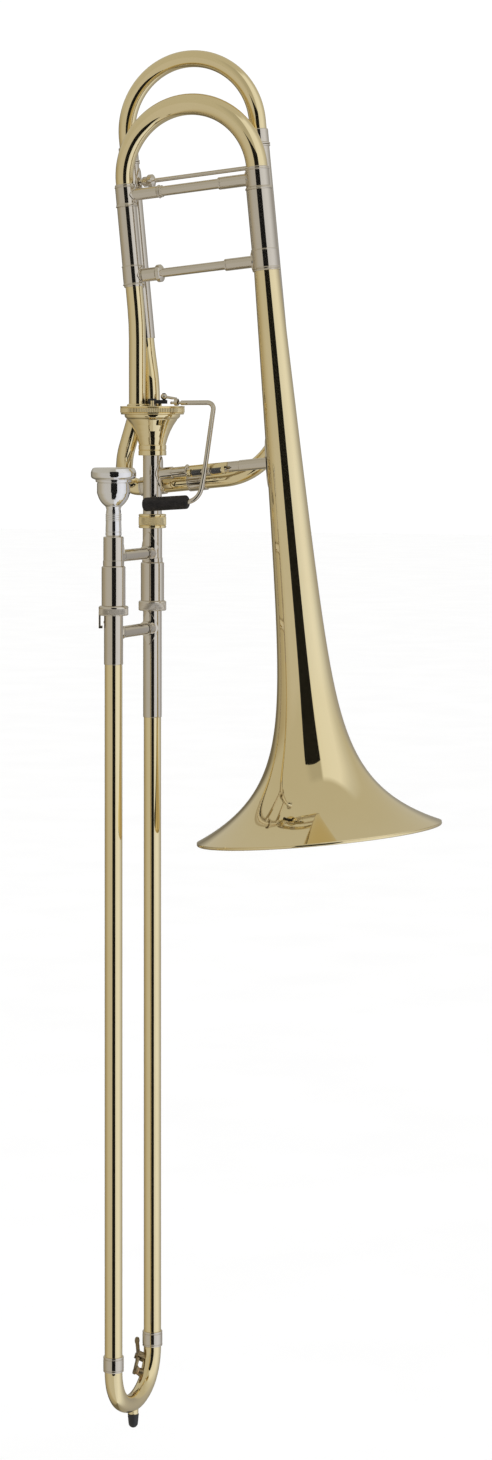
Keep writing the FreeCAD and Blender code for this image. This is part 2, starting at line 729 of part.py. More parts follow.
def make_rotor():
    foot, top = val("rotor_foot"), val("rotor_top")
    low, high = val("rotor_foot_radius"), val("rotor_top_radius")
    cone = Part.makeCone(low, high, top - foot, far_point(0, 0, foot))
    spindle = Part.makeCylinder(3, 17, far_point(0, 0, top - 1))
    bore = val("port_bore") - 1.6
    rise = port(OPEN_PORT, top) - far_point(0, 0, foot)
    straight = Part.makeCylinder(bore / 2, 2 * rise.Length, far_point(0, 0, foot) - rise / 2, rise)
    angle = math.radians(REST_SIDE)
    side = far_point(24 * math.cos(angle), 24 * math.sin(angle), foot - 4)
    lower = port(REST_SIDE, top + 3)
    branch = Part.makeCylinder(bore / 2, 60, lower, side - lower)
    body = cone.cut(straight).cut(branch).fuse(spindle)
    keep("valve_rotor", solid("valve_rotor", body))
    make_crank()


CRANK_REST = math.radians(val("rotor_swing") / 2)
STUD = far_point(val("crank_radius") * math.cos(CRANK_REST), val("crank_radius") * math.sin(CRANK_REST), 0)
CRANK_LEVEL = 133.2
LINK_LEVEL = 139.6
LEVER_TOP = far_point(21, 5.6, 134.6)
PIN_OD = 2.4
RING_BORE = 5.2
RING_OD = 6.5


def make_crank():
    hub = Part.makeCylinder(4.6, 3.4, far_point(0, 0, CRANK_LEVEL))
    arm = Part.makeBox(val("crank_radius") + 2.6, 5.6, 3.4, V(0, -2.8, 0))
    arm.Placement = FreeCAD.Placement(far_point(0, 0, CRANK_LEVEL),
                                      FreeCAD.Rotation(UP, math.degrees(CRANK_REST)))
    stud = Part.makeCylinder(1.5, 9.6, V(STUD.x, STUD.y, CRANK_LEVEL))
    screw = Part.makeCylinder(3.7, 1.2, far_point(0, 0, CRANK_LEVEL + 3.4))
    crank = hub.fuse([arm, stud, screw])
    crank = crank.cut(Part.makeCylinder(3, 3.6, far_point(0, 0, CRANK_LEVEL - 0.2)))
    keep("rotor_crank", solid("rotor_crank", crank))
    spindle_top = CRANK_LEVEL + 3.4
    trim = Part.makeCylinder(6, 20, far_point(0, 0, spindle_top))
    NODES["valve_rotor"].Shape = NODES["valve_rotor"].Shape.cut(trim)
    # The link: a ball-shaped eye on the crank's stud and a ring round the lever's wire.
    eye_centre = V(STUD.x, STUD.y, LINK_LEVEL)
    eye = Part.makeSphere(3, eye_centre)
    way = LEVER_TOP + UP * (RING_BORE + RING_OD) / 4 - eye_centre
    rod = Part.makeCylinder(1.25, way.Length, eye_centre, way)
    ring = Part.makeCylinder(RING_OD / 2, 3, LEVER_TOP - ALONG_X * 1.5, ALONG_X)
    link = eye.fuse([rod, ring])
    link = link.cut(Part.makeCylinder(1.58, 12, eye_centre - UP * 6))
    link = link.cut(Part.makeCylinder(RING_BORE / 2, 8, LEVER_TOP - ALONG_X * 4, ALONG_X))
    keep("valve_link", solid("valve_link", link))


# ---------------------------------------------------------------- bell section tubing

F_LEFT = -2.7
F_RIGHT = F_LEFT + val("f_gap")
F_LOW = -170.5
F_BEND = 62
F_BACK = val("f_offset")


def make_gooseneck():
    start = port(OPEN_PORT, val("cap_top") - 0.2)
    tilt = math.tan(TILT)
    knee_rise = val("leg_foot_z") - (start.x - val("leg_foot_x")) / tilt - start.z
    radius = 300
    setback = radius * math.tan(TILT / 2)
    knee_to_foot = (start.x - val("leg_foot_x")) / math.sin(TILT)
    steps = [(knee_rise - setback,), (radius, -val("tilt")), (knee_to_foot + 18 - setback,)]
    keep("gooseneck", pipe("gooseneck", steps, "goose_od", "goose_bore", frame_at(start)))


def make_f_tubing():
    out_start = port(F_PORT, val("cap_top") - 0.2)
    out_route = [
        (out_start, 0),
        (out_start + UP * 20, 70),
        (leg_point(F_LEFT, -46, F_BACK), 70),
        (leg_point(F_LEFT, -20, F_BACK), 0),
    ]
    keep("f_out_tube", solid("f_out_tube", swept(out_route, val("f_od"), val("f_bore"))))
    way = (RETURN_MID - RETURN_TOP).normalize()
    bow_route = [
        (RETURN_TOP - way * 2, 0),
        (far_point(-26.4, 0, 88), 25),
        (leg_point(-38.5, F_LOW, F_BACK), 12.3),
        (leg_point(-14, F_LOW, F_BACK), 0),
    ]
    bow = swept(bow_route, val("f_od"), val("f_bore"))
    chamber = Part.makeCone(cavity_radius(97), cavity_radius(121), 24, far_point(0, 0, 97))
    bow = bow.cut([chamber, NODES["valve_casing"].Shape])
    bow = max(bow.Solids, key=lambda piece: piece.Volume)
    keep("f_return_bow", solid("f_return_bow", bow))
    low_route = [
        (leg_point(-14, F_LOW, F_BACK), 0),
        (leg_point(F_RIGHT, F_LOW, F_BACK), F_BEND),
        (leg_point(F_RIGHT, -30, F_BACK), 0),
    ]
    keep("f_lower_crook", solid("f_lower_crook", swept(low_route, val("f_od"), val("f_bore"))))
    cuffs = []
    for name, across, length in (("bow_cuff", -20, 24), ("mid_cuff", 27, 17)):
        place = frame_at(leg_point(across, F_LOW, F_BACK), CROSS, UP)
        cuffs.append(turned(name, ferrule_outline("f_od / 2 + 1.05", "f_od / 2", 0, length), place))
    keep("f_cuffs", pair("f_cuffs", cuffs))
    for side, across, foot in (("left", F_LEFT, -38), ("right", F_RIGHT, -48)):
        sleeve = [
            ("f_inner_od / 2 + 0.3", 18), ("f_od / 2", 18), ("f_od / 2", 0), ("f_od / 2 + 0.9", 0),
            ("f_od / 2 + 0.9", f"{122 - foot} - 2"), ("f_od / 2 + 1.6", f"{122 - foot} - 1.6"),
            ("f_od / 2 + 1.6", f"{122 - foot} - 0.4"), ("f_od / 2 + 0.9", f"{122 - foot}"),
            ("f_inner_od / 2 + 0.3", f"{122 - foot}"),
        ]
        name = f"f_sleeve_{side}"
        keep(name, turned(name, sleeve, leg_frame(across, foot, F_BACK)))


def make_f_brace():
    place = frame_at(leg_point(F_LEFT, 103, F_BACK), CROSS, LEG_UP)
    span = F_RIGHT - F_LEFT
    outline = [
        ("0", 0), (2.6, 0), (2.6, 10.5), (4.3, 10.9), (4.3, 18.5), (5, 18.9), (5, 22), (4.2, 22.6),
        (1.8, 22.6), (1.8, span - 12.5), (2.6, span - 12.3), (2.6, span), ("0", span),
    ]
    bar = turned("f_brace_bar", outline, place)
    od = "f_od + 1.8"
    left = leg_frame(F_LEFT, 103, F_BACK)
    right = leg_frame(F_RIGHT, 103, F_BACK)
    bar = cut("f_brace_trim_left", bar, through("f_brace_left", od, left, 60))
    bar = cut("f_brace_trim_right", bar, through("f_brace_right", od, right, 60))
    plate = diamond_flange("f_brace_plate", left, od, CROSS, 26, 13)
    keep("f_brace", fuse("f_brace", [bar, plate]))


def leg_brace(label, up, outline, left_od, right_od, plates):
    """A brace across the tuning slide's legs, saddled to both and plated where it lands."""
    bar = turned(label + "_bar", outline, frame_at(leg_point(0, up), CROSS, LEG_UP))
    left = leg_frame(0, up)
    right = leg_frame(val("leg_gap"), up)
    bar = cut(label + "_trim_left", bar, through(label + "_left", left_od, left, 60))
    bar = cut(label + "_trim_right", bar, through(label + "_right", right_od, right, 60))
    pieces = [bar]
    if "left" in plates:
        pieces.append(diamond_flange(label + "_left_plate", left, left_od, CROSS, plates["left"], 14))
    if "right" in plates:
        way = CROSS * -1
        pieces.append(diamond_flange(label + "_right_plate", right, right_od, way, plates["right"], 15))
    keep(label, fuse(label, pieces))


def make_tuning_slide():
    gap = "leg_gap"
    for side, across, sleeve_od, leg_od in (("left", 0, "left_leg_od + 1.9", "left_leg_od + 0.5"),
                                            ("right", gap, "right_leg_od + 3.8", "right_leg_od + 2.2")):
        place = leg_frame(val(across), 0)
        sleeve = ring_outline(sleeve_od, f"{leg_od} + 0.3", 18.3, "sleeve_top")
        keep(f"tuning_sleeve_{side}", turned(f"tuning_sleeve_{side}", sleeve, place))
    lower = []
    for side, across, tail_od, sleeve_od in (("left", 0, "goose_od", "left_leg_od + 1.9"),
                                             ("right", gap, "23.3", "right_leg_od + 3.8")):
        outline = [
            (f"({tail_od}) / 2", 7.8), (f"({sleeve_od}) / 2 + 0.5", 7.8),
            (f"({sleeve_od}) / 2 + 0.5", "lower_ferrule_top"), (f"({sleeve_od}) / 2", "lower_ferrule_top"),
            (f"({sleeve_od}) / 2", 18.3), (f"({tail_od}) / 2", 18.3),
        ]
        lower.append(turned(f"lower_ferrule_{side}", outline, leg_frame(val(across), 0)))
    keep("sleeve_ferrules", pair("sleeve_ferrules", lower))
    legs = []
    uppers = []
    for side, across, crook_od, leg_od, cuff_od in (
            ("left", 0, "left_leg_od", "left_leg_od + 0.5", 17.9),
            ("right", gap, "right_leg_od", "right_leg_od + 2.2", 20.8)):
        place = leg_frame(val(across), 0)
        top = "crook_level"
        inner = f"({crook_od}) - 2 * leg_wall"
        legs.append(turned(f"tuning_leg_{side}", ring_outline(leg_od, inner, 24, "sleeve_top + 2"), place))
        cuff = [
            (f"({leg_od}) / 2", "sleeve_top + 0.15"), (f"({leg_od}) / 2 + 1.1", "sleeve_top + 0.15"),
            (f"({leg_od}) / 2 + 1.4", "sleeve_top + 0.8"), (f"({leg_od}) / 2 + 1.1", "sleeve_top + 2"),
            (f"({cuff_od}) / 2", "sleeve_top + 2.7"), (f"({cuff_od}) / 2", f"{top} - 0.6"),
            (f"({cuff_od}) / 2 - 0.4", top), (f"({crook_od}) / 2", top),
            (f"({crook_od}) / 2", "sleeve_top + 2"), (f"({leg_od}) / 2", "sleeve_top + 2"),
        ]
        uppers.append(turned(f"upper_ferrule_{side}", cuff, place))
    keep("tuning_legs", pair("tuning_legs", legs))
    keep("crook_ferrules", pair("crook_ferrules", uppers))
    keep("tuning_crook", solid("tuning_crook", tapered_crook()))


def tapered_crook():
    """The main crook: a half circle that widens from the left leg to the right."""
    radius = val("leg_gap") / 2
    level = val("crook_level")
    left, right = val("left_leg_od"), val("right_leg_od")
    root = val("sleeve_top") + 2.2
    start = leg_point(0, root)
    end = leg_point(2 * radius, root)
    springing = [leg_point(0, level), leg_point(2 * radius, level)]
    crown = leg_point(radius, level + radius)
    spine = Part.Wire([
        Part.LineSegment(start, springing[0]).toShape(),
        Part.Arc(springing[0], crown, springing[1]).toShape(),
        Part.LineSegment(springing[1], end).toShape(),
    ])

    def skin(thickness):
        shell = Part.BRepOffsetAPI.MakePipeShell(spine)
        for place, way, across in ((start, LEG_UP, left), (springing[0], LEG_UP, left),
                                   (crown, CROSS, (left + right) / 2 + 1.6),
                                   (springing[1], LEG_UP * -1, right), (end, LEG_UP * -1, right)):
            circle = Part.Circle(place, way, across / 2 - thickness)
            shell.add(Part.Wire(circle.toShape()))
        shell.build()
        shell.makeSolid()
        return shell.shape()
    return skin(0).cut(skin(val("leg_wall")))


def make_f_slide():
    """The F tuning slide: a half-round crook on two inner legs."""
    level = 136
    straight = 8.4
    radius = (F_RIGHT - F_LEFT) / 2
    place = leg_frame(F_LEFT, level - 8, F_BACK)
    steps = [(8 + straight,), (radius, 180), (8 + straight,)]
    keep("f_crook", pipe("f_crook", steps, "f_od", "f_bore", place))
    pieces = []
    legs = []
    for side, across in (("left", F_LEFT), ("right", F_RIGHT)):
        place = leg_frame(across, 0, F_BACK)
        leg = ring_outline("f_inner_od", "f_inner_bore", 20, level - 8)
        cuff = [
            ("f_inner_od / 2", 122.15), ("f_od / 2 + 1.7", 122.15), ("f_od / 2 + 1.7", 123.6),
            ("f_od / 2 + 1.1", 124), ("f_od / 2 + 1.1", level - 0.6), ("f_od / 2 + 0.6", level),
            ("f_od / 2", level), ("f_od / 2", level - 8), ("f_inner_od / 2", level - 8),
        ]
        legs.append(turned(f"f_leg_{side}", leg, place))
        pieces.append(turned(f"f_ferrule_{side}", cuff, place))
    keep("f_ferrules", pair("f_ferrules", pieces))
    keep("f_legs", pair("f_legs", legs))


# ---------------------------------------------------------------- bell

def bell_radius(distance):
    """The bell's outer radius at a distance up its axis from the rim."""
    span = val("flare_span")
    flare = val("flare_height") * (span / (distance + span)) ** val("flare_power")
    return flare + val("throat_radius") - val("throat_taper") * distance


def bell_slope(distance):
    step = 0.01
    return (bell_radius(distance + step) - bell_radius(distance - step)) / (2 * step)


def bell_distances():
    """Stations along the bell, closer together where it flares."""
    length = val("bell_foot") + 18.3
    count = 22
    return [length * (index / count) ** 2.2 for index in range(count + 1)]


def make_bell():
    wall = val("bell_wall")
    outer = []
    inner = []
    for distance in bell_distances():
        radius = bell_radius(distance)
        slope = bell_slope(distance)
        normal = V(1, -slope, 0).normalize()
        outer.append(V(radius, 0, distance))
        inner.append(V(radius - wall * normal.x, 0, distance - wall * normal.y))
    edges = []
    for line in (outer, inner):
        curve = Part.BSplineCurve()
        curve.interpolate(line)
        edges.append(curve.toShape())
    for first, second in ((outer[0], inner[0]), (outer[-1], inner[-1])):
        edges.append(Part.LineSegment(first, second).toShape())
    section = Part.Face(Part.Wire(Part.__sortEdges__(edges)))
    shape = section.revolve(ORIGIN, UP, 360)
    shape = shape if shape.ShapeType == "Solid" else Part.Solid(shape)
    place = frame_at(leg_point(val("leg_gap"), -val("bell_foot")), LEG_UP, CROSS)
    bell = solid("bell", shape)
    bell.Placement = place
    keep("bell", bell)
    rim = doc.addObject("Part::Torus", "bell_rim_wire")
    rim.setExpression("Radius1", bound("bell_rim_radius - 1.3"))
    rim.Radius2 = 1.35
    rim.Placement = place.multiply(FreeCAD.Placement(V(0, 0, -1.55), FreeCAD.Rotation()))
    keep("bell_rim_wire", rim)


BRACE_UP = -161.1


def make_bell_brace():
    start = leg_point(1.0, BRACE_UP)
    reach = val("leg_gap") - 1.0
    outline = [
        ("0", 0), (5.4, 0), (5.4, 20), (4.65, 20), (4.65, 33), (5.6, 33.2), (5.6, 35.6), (4.65, 35.8),
        (4.65, reach - 42), (5, reach - 42), (5, reach), ("0", reach),
    ]
    bar = turned("bell_brace_bar", outline, frame_at(start, CROSS, LEG_UP))
    bar = cut("bell_brace_trim_neck", bar, through("bell_brace_neck", "neck_od", FAR))
    throat = 2 * bell_radius(val("bell_foot") + BRACE_UP)
    place = leg_frame(val("leg_gap"), BRACE_UP)
    taper = -2 * bell_slope(val("bell_foot") + BRACE_UP)
    reach_up = 40
    wide = throat / 2 + taper * reach_up / 2
    narrow = throat / 2 - taper * reach_up / 2
    cone = Part.makeCone(wide, narrow, 2 * reach_up)
    cone.Placement = place.multiply(FreeCAD.Placement(V(0, 0, -reach_up), FreeCAD.Rotation()))
    bar = cut("bell_brace_trim_bell", bar, solid("bell_throat", cone))
    neck_place = frame_at(far_point(0, 0, start.z + 0.9))
    neck_plate = diamond_flange("bell_brace_neck_plate", neck_place, "neck_od", CROSS, 30, 15)
    skin = Part.makeCone(wide + 0.9, narrow + 0.9, 2 * reach_up)
    skin.Placement = cone.Placement
    lozenge = Part.Face(Part.makePolygon([V(22, 0, 0), V(0, 8, 0), V(-22, 0, 0), V(0, -8, 0), V(22, 0, 0)]))
    prism = lozenge.extrude(V(0, 0, 40))
    prism.Placement = frame_at(place.Base, CROSS * -1, LEG_UP)
    bell_plate = solid("bell_brace_bell_plate", skin.cut(cone).common(prism))
    keep("bell_brace", fuse("bell_brace", [bar, neck_plate, bell_plate]))


HINGE = far_point(56, -9.4, 73)


def make_lever_hinge():
    """A bracket in front of the bell brace, with two ears that hold the hinge rod."""
    half = 17.8
    base = leg_point(57, BRACE_UP)
    ears = []
    for offset in (-half, half - 3):
        ear = Part.makeCylinder(3.5, 3, HINGE + CROSS * offset, CROSS)
        web = Part.makeBox(5, 9.4, 3, V(-2.5, -9.4, 0))
        web.Placement = frame_at(HINGE + CROSS * offset, CROSS, LEG_UP)
        ears.append(ear.fuse(web))
    strap = Part.makeCylinder(5.9, 2 * half, base - CROSS * half, CROSS)
    strap = strap.cut(Part.makeCylinder(4.66, 2 * half + 2, base - CROSS * (half + 1), CROSS))
    keeper = Part.makeBox(9, 6.4, 2 * half, V(-4.5, -6.4, 0))
    keeper.Placement = frame_at(base - CROSS * half - ALONG_Y * 6.4, CROSS, LEG_UP)
    strap = strap.common(keeper)
    rod_bore = Part.makeCylinder(1.5, 3 * half, HINGE - CROSS * 1.5 * half, CROSS)
    rod_hull = Part.makeCylinder(4.66, 3 * half, base - CROSS * 1.5 * half, CROSS)
    bracket = strap.fuse([ear.cut(rod_hull) for ear in ears]).cut(rod_bore)
    keep("hinge_bracket", solid("hinge_bracket", bracket))
    pin = cylinder("hinge_rod", 3, 2 * half + 3, frame_at(HINGE - CROSS * (half + 1.5), CROSS, UP))
    keep("hinge_rod", pin)
    coils = []
    for index, offset in enumerate((-half + 3.4, 4.6)):
        place = frame_at(HINGE + CROSS * offset, CROSS, UP)
        coils.append(turned(f"lever_spring_{index}", ring_outline(5.3, 3.4, 0, half - 8.4), place))
    keep("lever_springs", pair("lever_springs", coils))


def make_lever():
    wire = val("wire_od")
    lower = far_point(53, -21, 46.8)
    grip_end = far_point(3, -22, 43.6)
    corners = [
        (far_point(25.6, 5.6, 134), 0),
        (far_point(57.3, 5.6, 134.2), 6.5),
        (far_point(55.9, -14.5, 72.7), 60),
        (lower, 14),
        (grip_end, 0),
    ]
    rod = swept(corners, wire, 0)
    knuckle = Part.makeCylinder(3.5, 7.6, HINGE - CROSS * 3.8, CROSS)
    tip = far_point(16.2, 5.6, 134)
    pin = Part.makeCylinder(PIN_OD / 2, 10, tip, ALONG_X)
    knob = Part.makeSphere(2.3, tip)
    lever = rod.fuse([knuckle, pin, knob]).removeSplitter()
    lever = lever.cut(Part.makeCylinder(1.58, 20, HINGE - CROSS * 10, CROSS))
    keep("lever_wire", solid("lever_wire", lever))
    way = (lower - grip_end).normalize()
    start = far_point(0.7, -22, 43.5)
    place = frame_at(start, way, UP)
    radius, length, corner = 6.15, 42.5, 2.6
    outline = [
        ("0", 0), (radius - corner, 0, corner), (radius, corner), (radius, length - corner, corner),
        (radius - corner, length), ("0", length),
    ]
    grip = turned("paddle_blank", outline, place)
    keep("thumb_paddle", cut("thumb_paddle", grip, solid("paddle_bore", rod)))


make_inner_slide()
make_receivers()
slide_brace("upper_brace", 0, "receiver_od + 0.6", "receiver_od + 0.2", 7, 9, 27, 25, 5.3,
            ("mouthpiece_receiver", "bell_receiver"))
make_outer_slide()
slide_brace("lower_brace", -val("lower_brace_drop"), "oversleeve_od", "oversleeve_od", 7, 9, 30, 22)
make_bow_fittings()
make_lock_ring()
make_water_key()
make_mouthpiece()
make_lock_nut()
make_valve()
make_gooseneck()
doc.recompute()
make_f_tubing()
make_f_brace()
make_tuning_slide()
make_f_slide()
make_bell()
make_bell_brace()
leg_brace("tuning_brace", 90, [
    ("0", 0), (5.35, 0), (5.35, 36), (4.75, 36), (4.75, "leg_gap - 37"), (5.35, "leg_gap - 37"),
    (5.35, "leg_gap"), ("0", "leg_gap")], "17.9", "20.8", {"left": 15, "right": 15})
leg_brace("body_brace", 17.3, [
    ("0", 0), (4.9, 0), (4.9, 23), (6, 23.4), (6.6, 25), (6.6, 26.6), (5.4, 27.2), (4.5, 27.2),
    (4.5, "leg_gap - 38"), (5.1, "leg_gap - 38"), (5.1, "leg_gap"), ("0", "leg_gap")],
    "left_leg_od + 2.9", "right_leg_od + 4.8", {"left": 18, "right": 18})
make_lever_hinge()
make_lever()

doc.recompute()
for item in doc.Objects:
    if "Invalid" in item.State or "Error" in item.State:
        raise RuntimeError(f"{item.Label} did not build: {item.State}")
os.makedirs("parts", exist_ok=True)
for label, item in NODES.items():
    if item.Shape.isNull() or not item.Shape.isValid():
        raise RuntimeError(f"{label} has no valid shape")
    item.Shape.exportStep(f"parts/{label}.step")
print(len(NODES), "pieces written")
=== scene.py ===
import bmesh
import bpy
import json
import math
from mathutils import Matrix, Quaternion, Vector


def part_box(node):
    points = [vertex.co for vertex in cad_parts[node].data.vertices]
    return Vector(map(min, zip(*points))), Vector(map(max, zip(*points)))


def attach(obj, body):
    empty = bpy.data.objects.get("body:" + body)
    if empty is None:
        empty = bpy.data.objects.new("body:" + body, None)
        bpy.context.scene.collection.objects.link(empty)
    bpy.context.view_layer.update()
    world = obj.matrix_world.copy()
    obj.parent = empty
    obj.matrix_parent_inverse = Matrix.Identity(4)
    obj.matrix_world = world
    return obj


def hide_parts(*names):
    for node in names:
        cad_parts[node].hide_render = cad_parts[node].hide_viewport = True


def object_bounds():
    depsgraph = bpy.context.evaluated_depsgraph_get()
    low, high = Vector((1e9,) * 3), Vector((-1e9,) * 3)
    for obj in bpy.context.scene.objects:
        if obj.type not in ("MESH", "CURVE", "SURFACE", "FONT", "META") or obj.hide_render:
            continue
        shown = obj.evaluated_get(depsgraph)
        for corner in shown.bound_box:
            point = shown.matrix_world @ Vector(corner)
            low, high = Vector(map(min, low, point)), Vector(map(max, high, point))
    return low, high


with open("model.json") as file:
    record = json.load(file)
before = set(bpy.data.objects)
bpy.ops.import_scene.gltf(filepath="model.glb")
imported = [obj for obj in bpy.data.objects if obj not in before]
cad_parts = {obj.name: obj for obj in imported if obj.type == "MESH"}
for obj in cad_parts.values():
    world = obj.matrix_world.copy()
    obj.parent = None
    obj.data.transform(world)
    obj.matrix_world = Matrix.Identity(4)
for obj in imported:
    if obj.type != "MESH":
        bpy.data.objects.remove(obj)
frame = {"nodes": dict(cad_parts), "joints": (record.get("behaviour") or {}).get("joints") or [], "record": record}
CAD_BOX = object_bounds()

# A tenor-bass trombone with an F attachment. Shapes are worked out in millimetres
# in the frame's own axes and handed to Blender in metres.

MM = 0.001
ALONG_X = Vector((1, 0, 0))
ALONG_Y = Vector((0, 1, 0))
UP = Vector((0, 0, 1))

BODY_OF = {node: body for body, nodes in frame["record"]["behaviour"]["bodies"].items() for node in nodes}
SLOT_OF = {part["node"]: part["material_slot"] for part in frame["record"]["subparts"]}
JOINTS = {joint["name"]: joint for joint in frame["joints"]}
BOXES = {node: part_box(node) for node in frame["nodes"]}


# ------------------------------------------------------------ places

def low(node):
    return BOXES[node][0] / MM


def high(node):
    return BOXES[node][1] / MM


def middle(node):
    return (low(node) + high(node)) / 2


def place(origin, z_axis=UP, x_axis=ALONG_X):
    """A frame with its Z along z_axis and its X as near x_axis as can be."""
    z = Vector(z_axis).normalized()
    y = z.cross(Vector(x_axis)).normalized()
    x = y.cross(z)
    turn = Matrix((x, y, z)).transposed().to_4x4()
    return Matrix.Translation(origin) @ turn


def axis_of(node):
    """The upright axis through a slide tube."""
    centre = middle(node)
    return Vector((centre.x, centre.y, 0))


NEAR = axis_of("outer_tube_near")
FAR = axis_of("outer_tube_far")
NEAR_PLACE = place(NEAR)
FAR_PLACE = place(FAR)
GAP = (FAR - NEAR).length
LEG_UP = Vector(JOINTS["main_tuning"]["axis"]).normalized()
CROSS = Vector((LEG_UP.z, 0, -LEG_UP.x))
SLEEVE_FOOT = 18.3
SLEEVE_TOP = 79.8
LEG_FOOT = middle("tuning_sleeve_left") - LEG_UP * (SLEEVE_FOOT + SLEEVE_TOP) / 2
LEG_GAP = (middle("tuning_sleeve_right") - middle("tuning_sleeve_left")).length
F_BACK = middle("f_lower_crook").y - FAR.y
F_LEFT = -2.7
F_RIGHT = 123.8
F_LOW = -170.5


def far_point(x, y, z):
    """A point given from the bell-side slide axis."""
    return FAR + Vector((x, y, z))


def leg_point(across, up, back=0):
    """A point in the tuning slide's frame: across the legs, up them and behind them."""
    return LEG_FOOT + CROSS * across + LEG_UP * up + ALONG_Y * back


def leg_place(across, up=0, back=0):
    return place(leg_point(across, up, back), LEG_UP, CROSS)


# ------------------------------------------------------------ outlines

ARC_STEP = math.radians(7)
EDGE = 0.22
EASE_SHARE = 0.42
SMOOTH_CORNER = math.radians(152)
HOLD = 0.25
TINY = 1e-6
SADDLE_SINK = 0.15


def arc_points(start, end, radius):
    """Points on a minor arc without its end; a positive radius bulges to the right of travel."""
    chord = end - start
    half = chord.length / 2
    side = Vector((chord.y, -chord.x)).normalized() * math.copysign(1, radius)
    depth = math.sqrt(max(radius * radius - half * half, 0))
    centre = (start + end) / 2 - side * depth
    sweep = 2 * math.asin(min(half / abs(radius), 1)) * math.copysign(1, radius)
    count = max(3, math.ceil(abs(sweep) / ARC_STEP))
    spoke = start - centre
    return [centre + Matrix.Rotation(sweep * index / count, 2) @ spoke for index in range(count)]


def flat_outline(corners):
    """The corners (across, up) or (across, up, radius of the arc to the next one) as points."""
    points = []
    for index, corner in enumerate(corners):
        start = Vector(corner[:2])
        end = Vector(corners[(index + 1) % len(corners)][:2])
        points += arc_points(start, end, corner[2]) if len(corner) > 2 else [start]
    return points


def eased(points, edge):
    """A closed outline with its sharp corners rounded by a small curve."""
    result = []
    count = len(points)
    for index, corner in enumerate(points):
        back = points[index - 1] - corner
        ahead = points[(index + 1) % count] - corner
        on_axis = abs(corner.x) < TINY
        if on_axis or back.length < TINY or ahead.length < TINY:
            result.append(corner)
            continue
        if back.angle(ahead) > SMOOTH_CORNER:
            result.append(corner)
            continue
        reach = min(edge, EASE_SHARE * back.length, EASE_SHARE * ahead.length)
        start = corner + back.normalized() * reach
        end = corner + ahead.normalized() * reach
        for step in range(5):
            share = step / 4
            towards_corner = corner * 2 * share * (1 - share)
            result.append(start * (1 - share) ** 2 + towards_corner + end * share ** 2)
    return result


def held(points):
    """Extra points close to the ends of long straight stretches, which keep them looking straight."""
    result = []
    for index, here in enumerate(points):
        there = points[(index + 1) % len(points)]
        run = there - here
        result.append(here)
        if run.length > 5 * HOLD:
            result.append(here + run.normalized() * HOLD)
            result.append(there - run.normalized() * HOLD)
    return result


def groove(radius, level, depth=0.4, width=0.8):
    """A turned line round a part, as corners that go up its outline."""
    half = width / 2
    return [(radius, level - half), (radius - depth, level - half + 0.12),
            (radius - depth, level + half - 0.12), (radius, level + half)]


def ring_outline(outer, inner, foot, top):
    return [(inner, foot), (outer, foot), (outer, top), (inner, top)]


# ------------------------------------------------------------ meshes

class Shell:
    """The points and faces of one piece, in millimetres."""

    def __init__(self):
        self.points = []
        self.faces = []

    def grid(self, rings, closed):
        """Faces between rings of equal length; closed joins the last ring to the first."""
        first = len(self.points)
        count = len(rings[0])
        for ring in rings:
            self.points.extend(ring)
        pairs = len(rings) if closed else len(rings) - 1
        for pair in range(pairs):
            here = first + pair * count
            there = first + (pair + 1) % len(rings) * count
            for index in range(count):
                after = (index + 1) % count
                self.faces.append((here + index, here + after, there + after, there + index))
        return self

    def merge(self, other):
        first = len(self.points)
        self.points.extend(other.points)
        self.faces.extend(tuple(first + index for index in face) for face in other.faces)
        return self


def turned(corners, where, sides=128, edge=EDGE, teeth=None, saddle=None):
    """A piece turned about its local Z from a closed outline of (radius, height) corners.

    teeth is (how many, how deep, lowest, highest), a straight knurl on the outside.
    saddle is (span, first tube's radius, second tube's radius): the piece's two ends
    follow the skins of the tubes it joins, which lie along its local X.
    """
    points = held(eased(flat_outline(corners), edge))
    skins = [index for index, point in enumerate(points) if point.x > TINY]
    start = (skins[0] - 1) % len(points) if len(skins) < len(points) else 0
    points = points[start:] + points[:start]
    widest = max(point.x for point in points)
    rings = []
    for point in points:
        ring = []
        for index in range(sides):
            angle = 2 * math.pi * index / sides
            radius, height = point.x, point.y
            if teeth and teeth[2] < height < teeth[3] and radius > widest - 1:
                wave = abs(math.sin(teeth[0] * angle / 2))
                radius -= teeth[1] * (1 - wave) ** 1.5
            spot = Vector((radius * math.cos(angle), radius * math.sin(angle), height))
            if saddle:
                span, near_radius, far_radius = saddle
                near_skin = math.sqrt(max(near_radius ** 2 - spot.y ** 2, 0)) - SADDLE_SINK
                far_skin = math.sqrt(max(far_radius ** 2 - spot.y ** 2, 0)) - SADDLE_SINK
                spot.z = min(max(spot.z, near_skin), span - far_skin)
            ring.append(where @ spot)
        rings.append(ring)
    on_axis = points[0].x < TINY and points[-1].x < TINY
    return Shell().grid(rings, closed=not on_axis)


BEND_STEP = math.radians(3)


def bend(point, heading, centre, axis, turn):
    """Stations along an arc about an axis, without its start."""
    count = max(2, math.ceil(abs(turn) / BEND_STEP))
    stations = []
    for step in range(1, count + 1):
        spin = Quaternion(axis, turn * step / count)
        stations.append((centre + spin @ (point - centre), spin @ heading))
    return stations


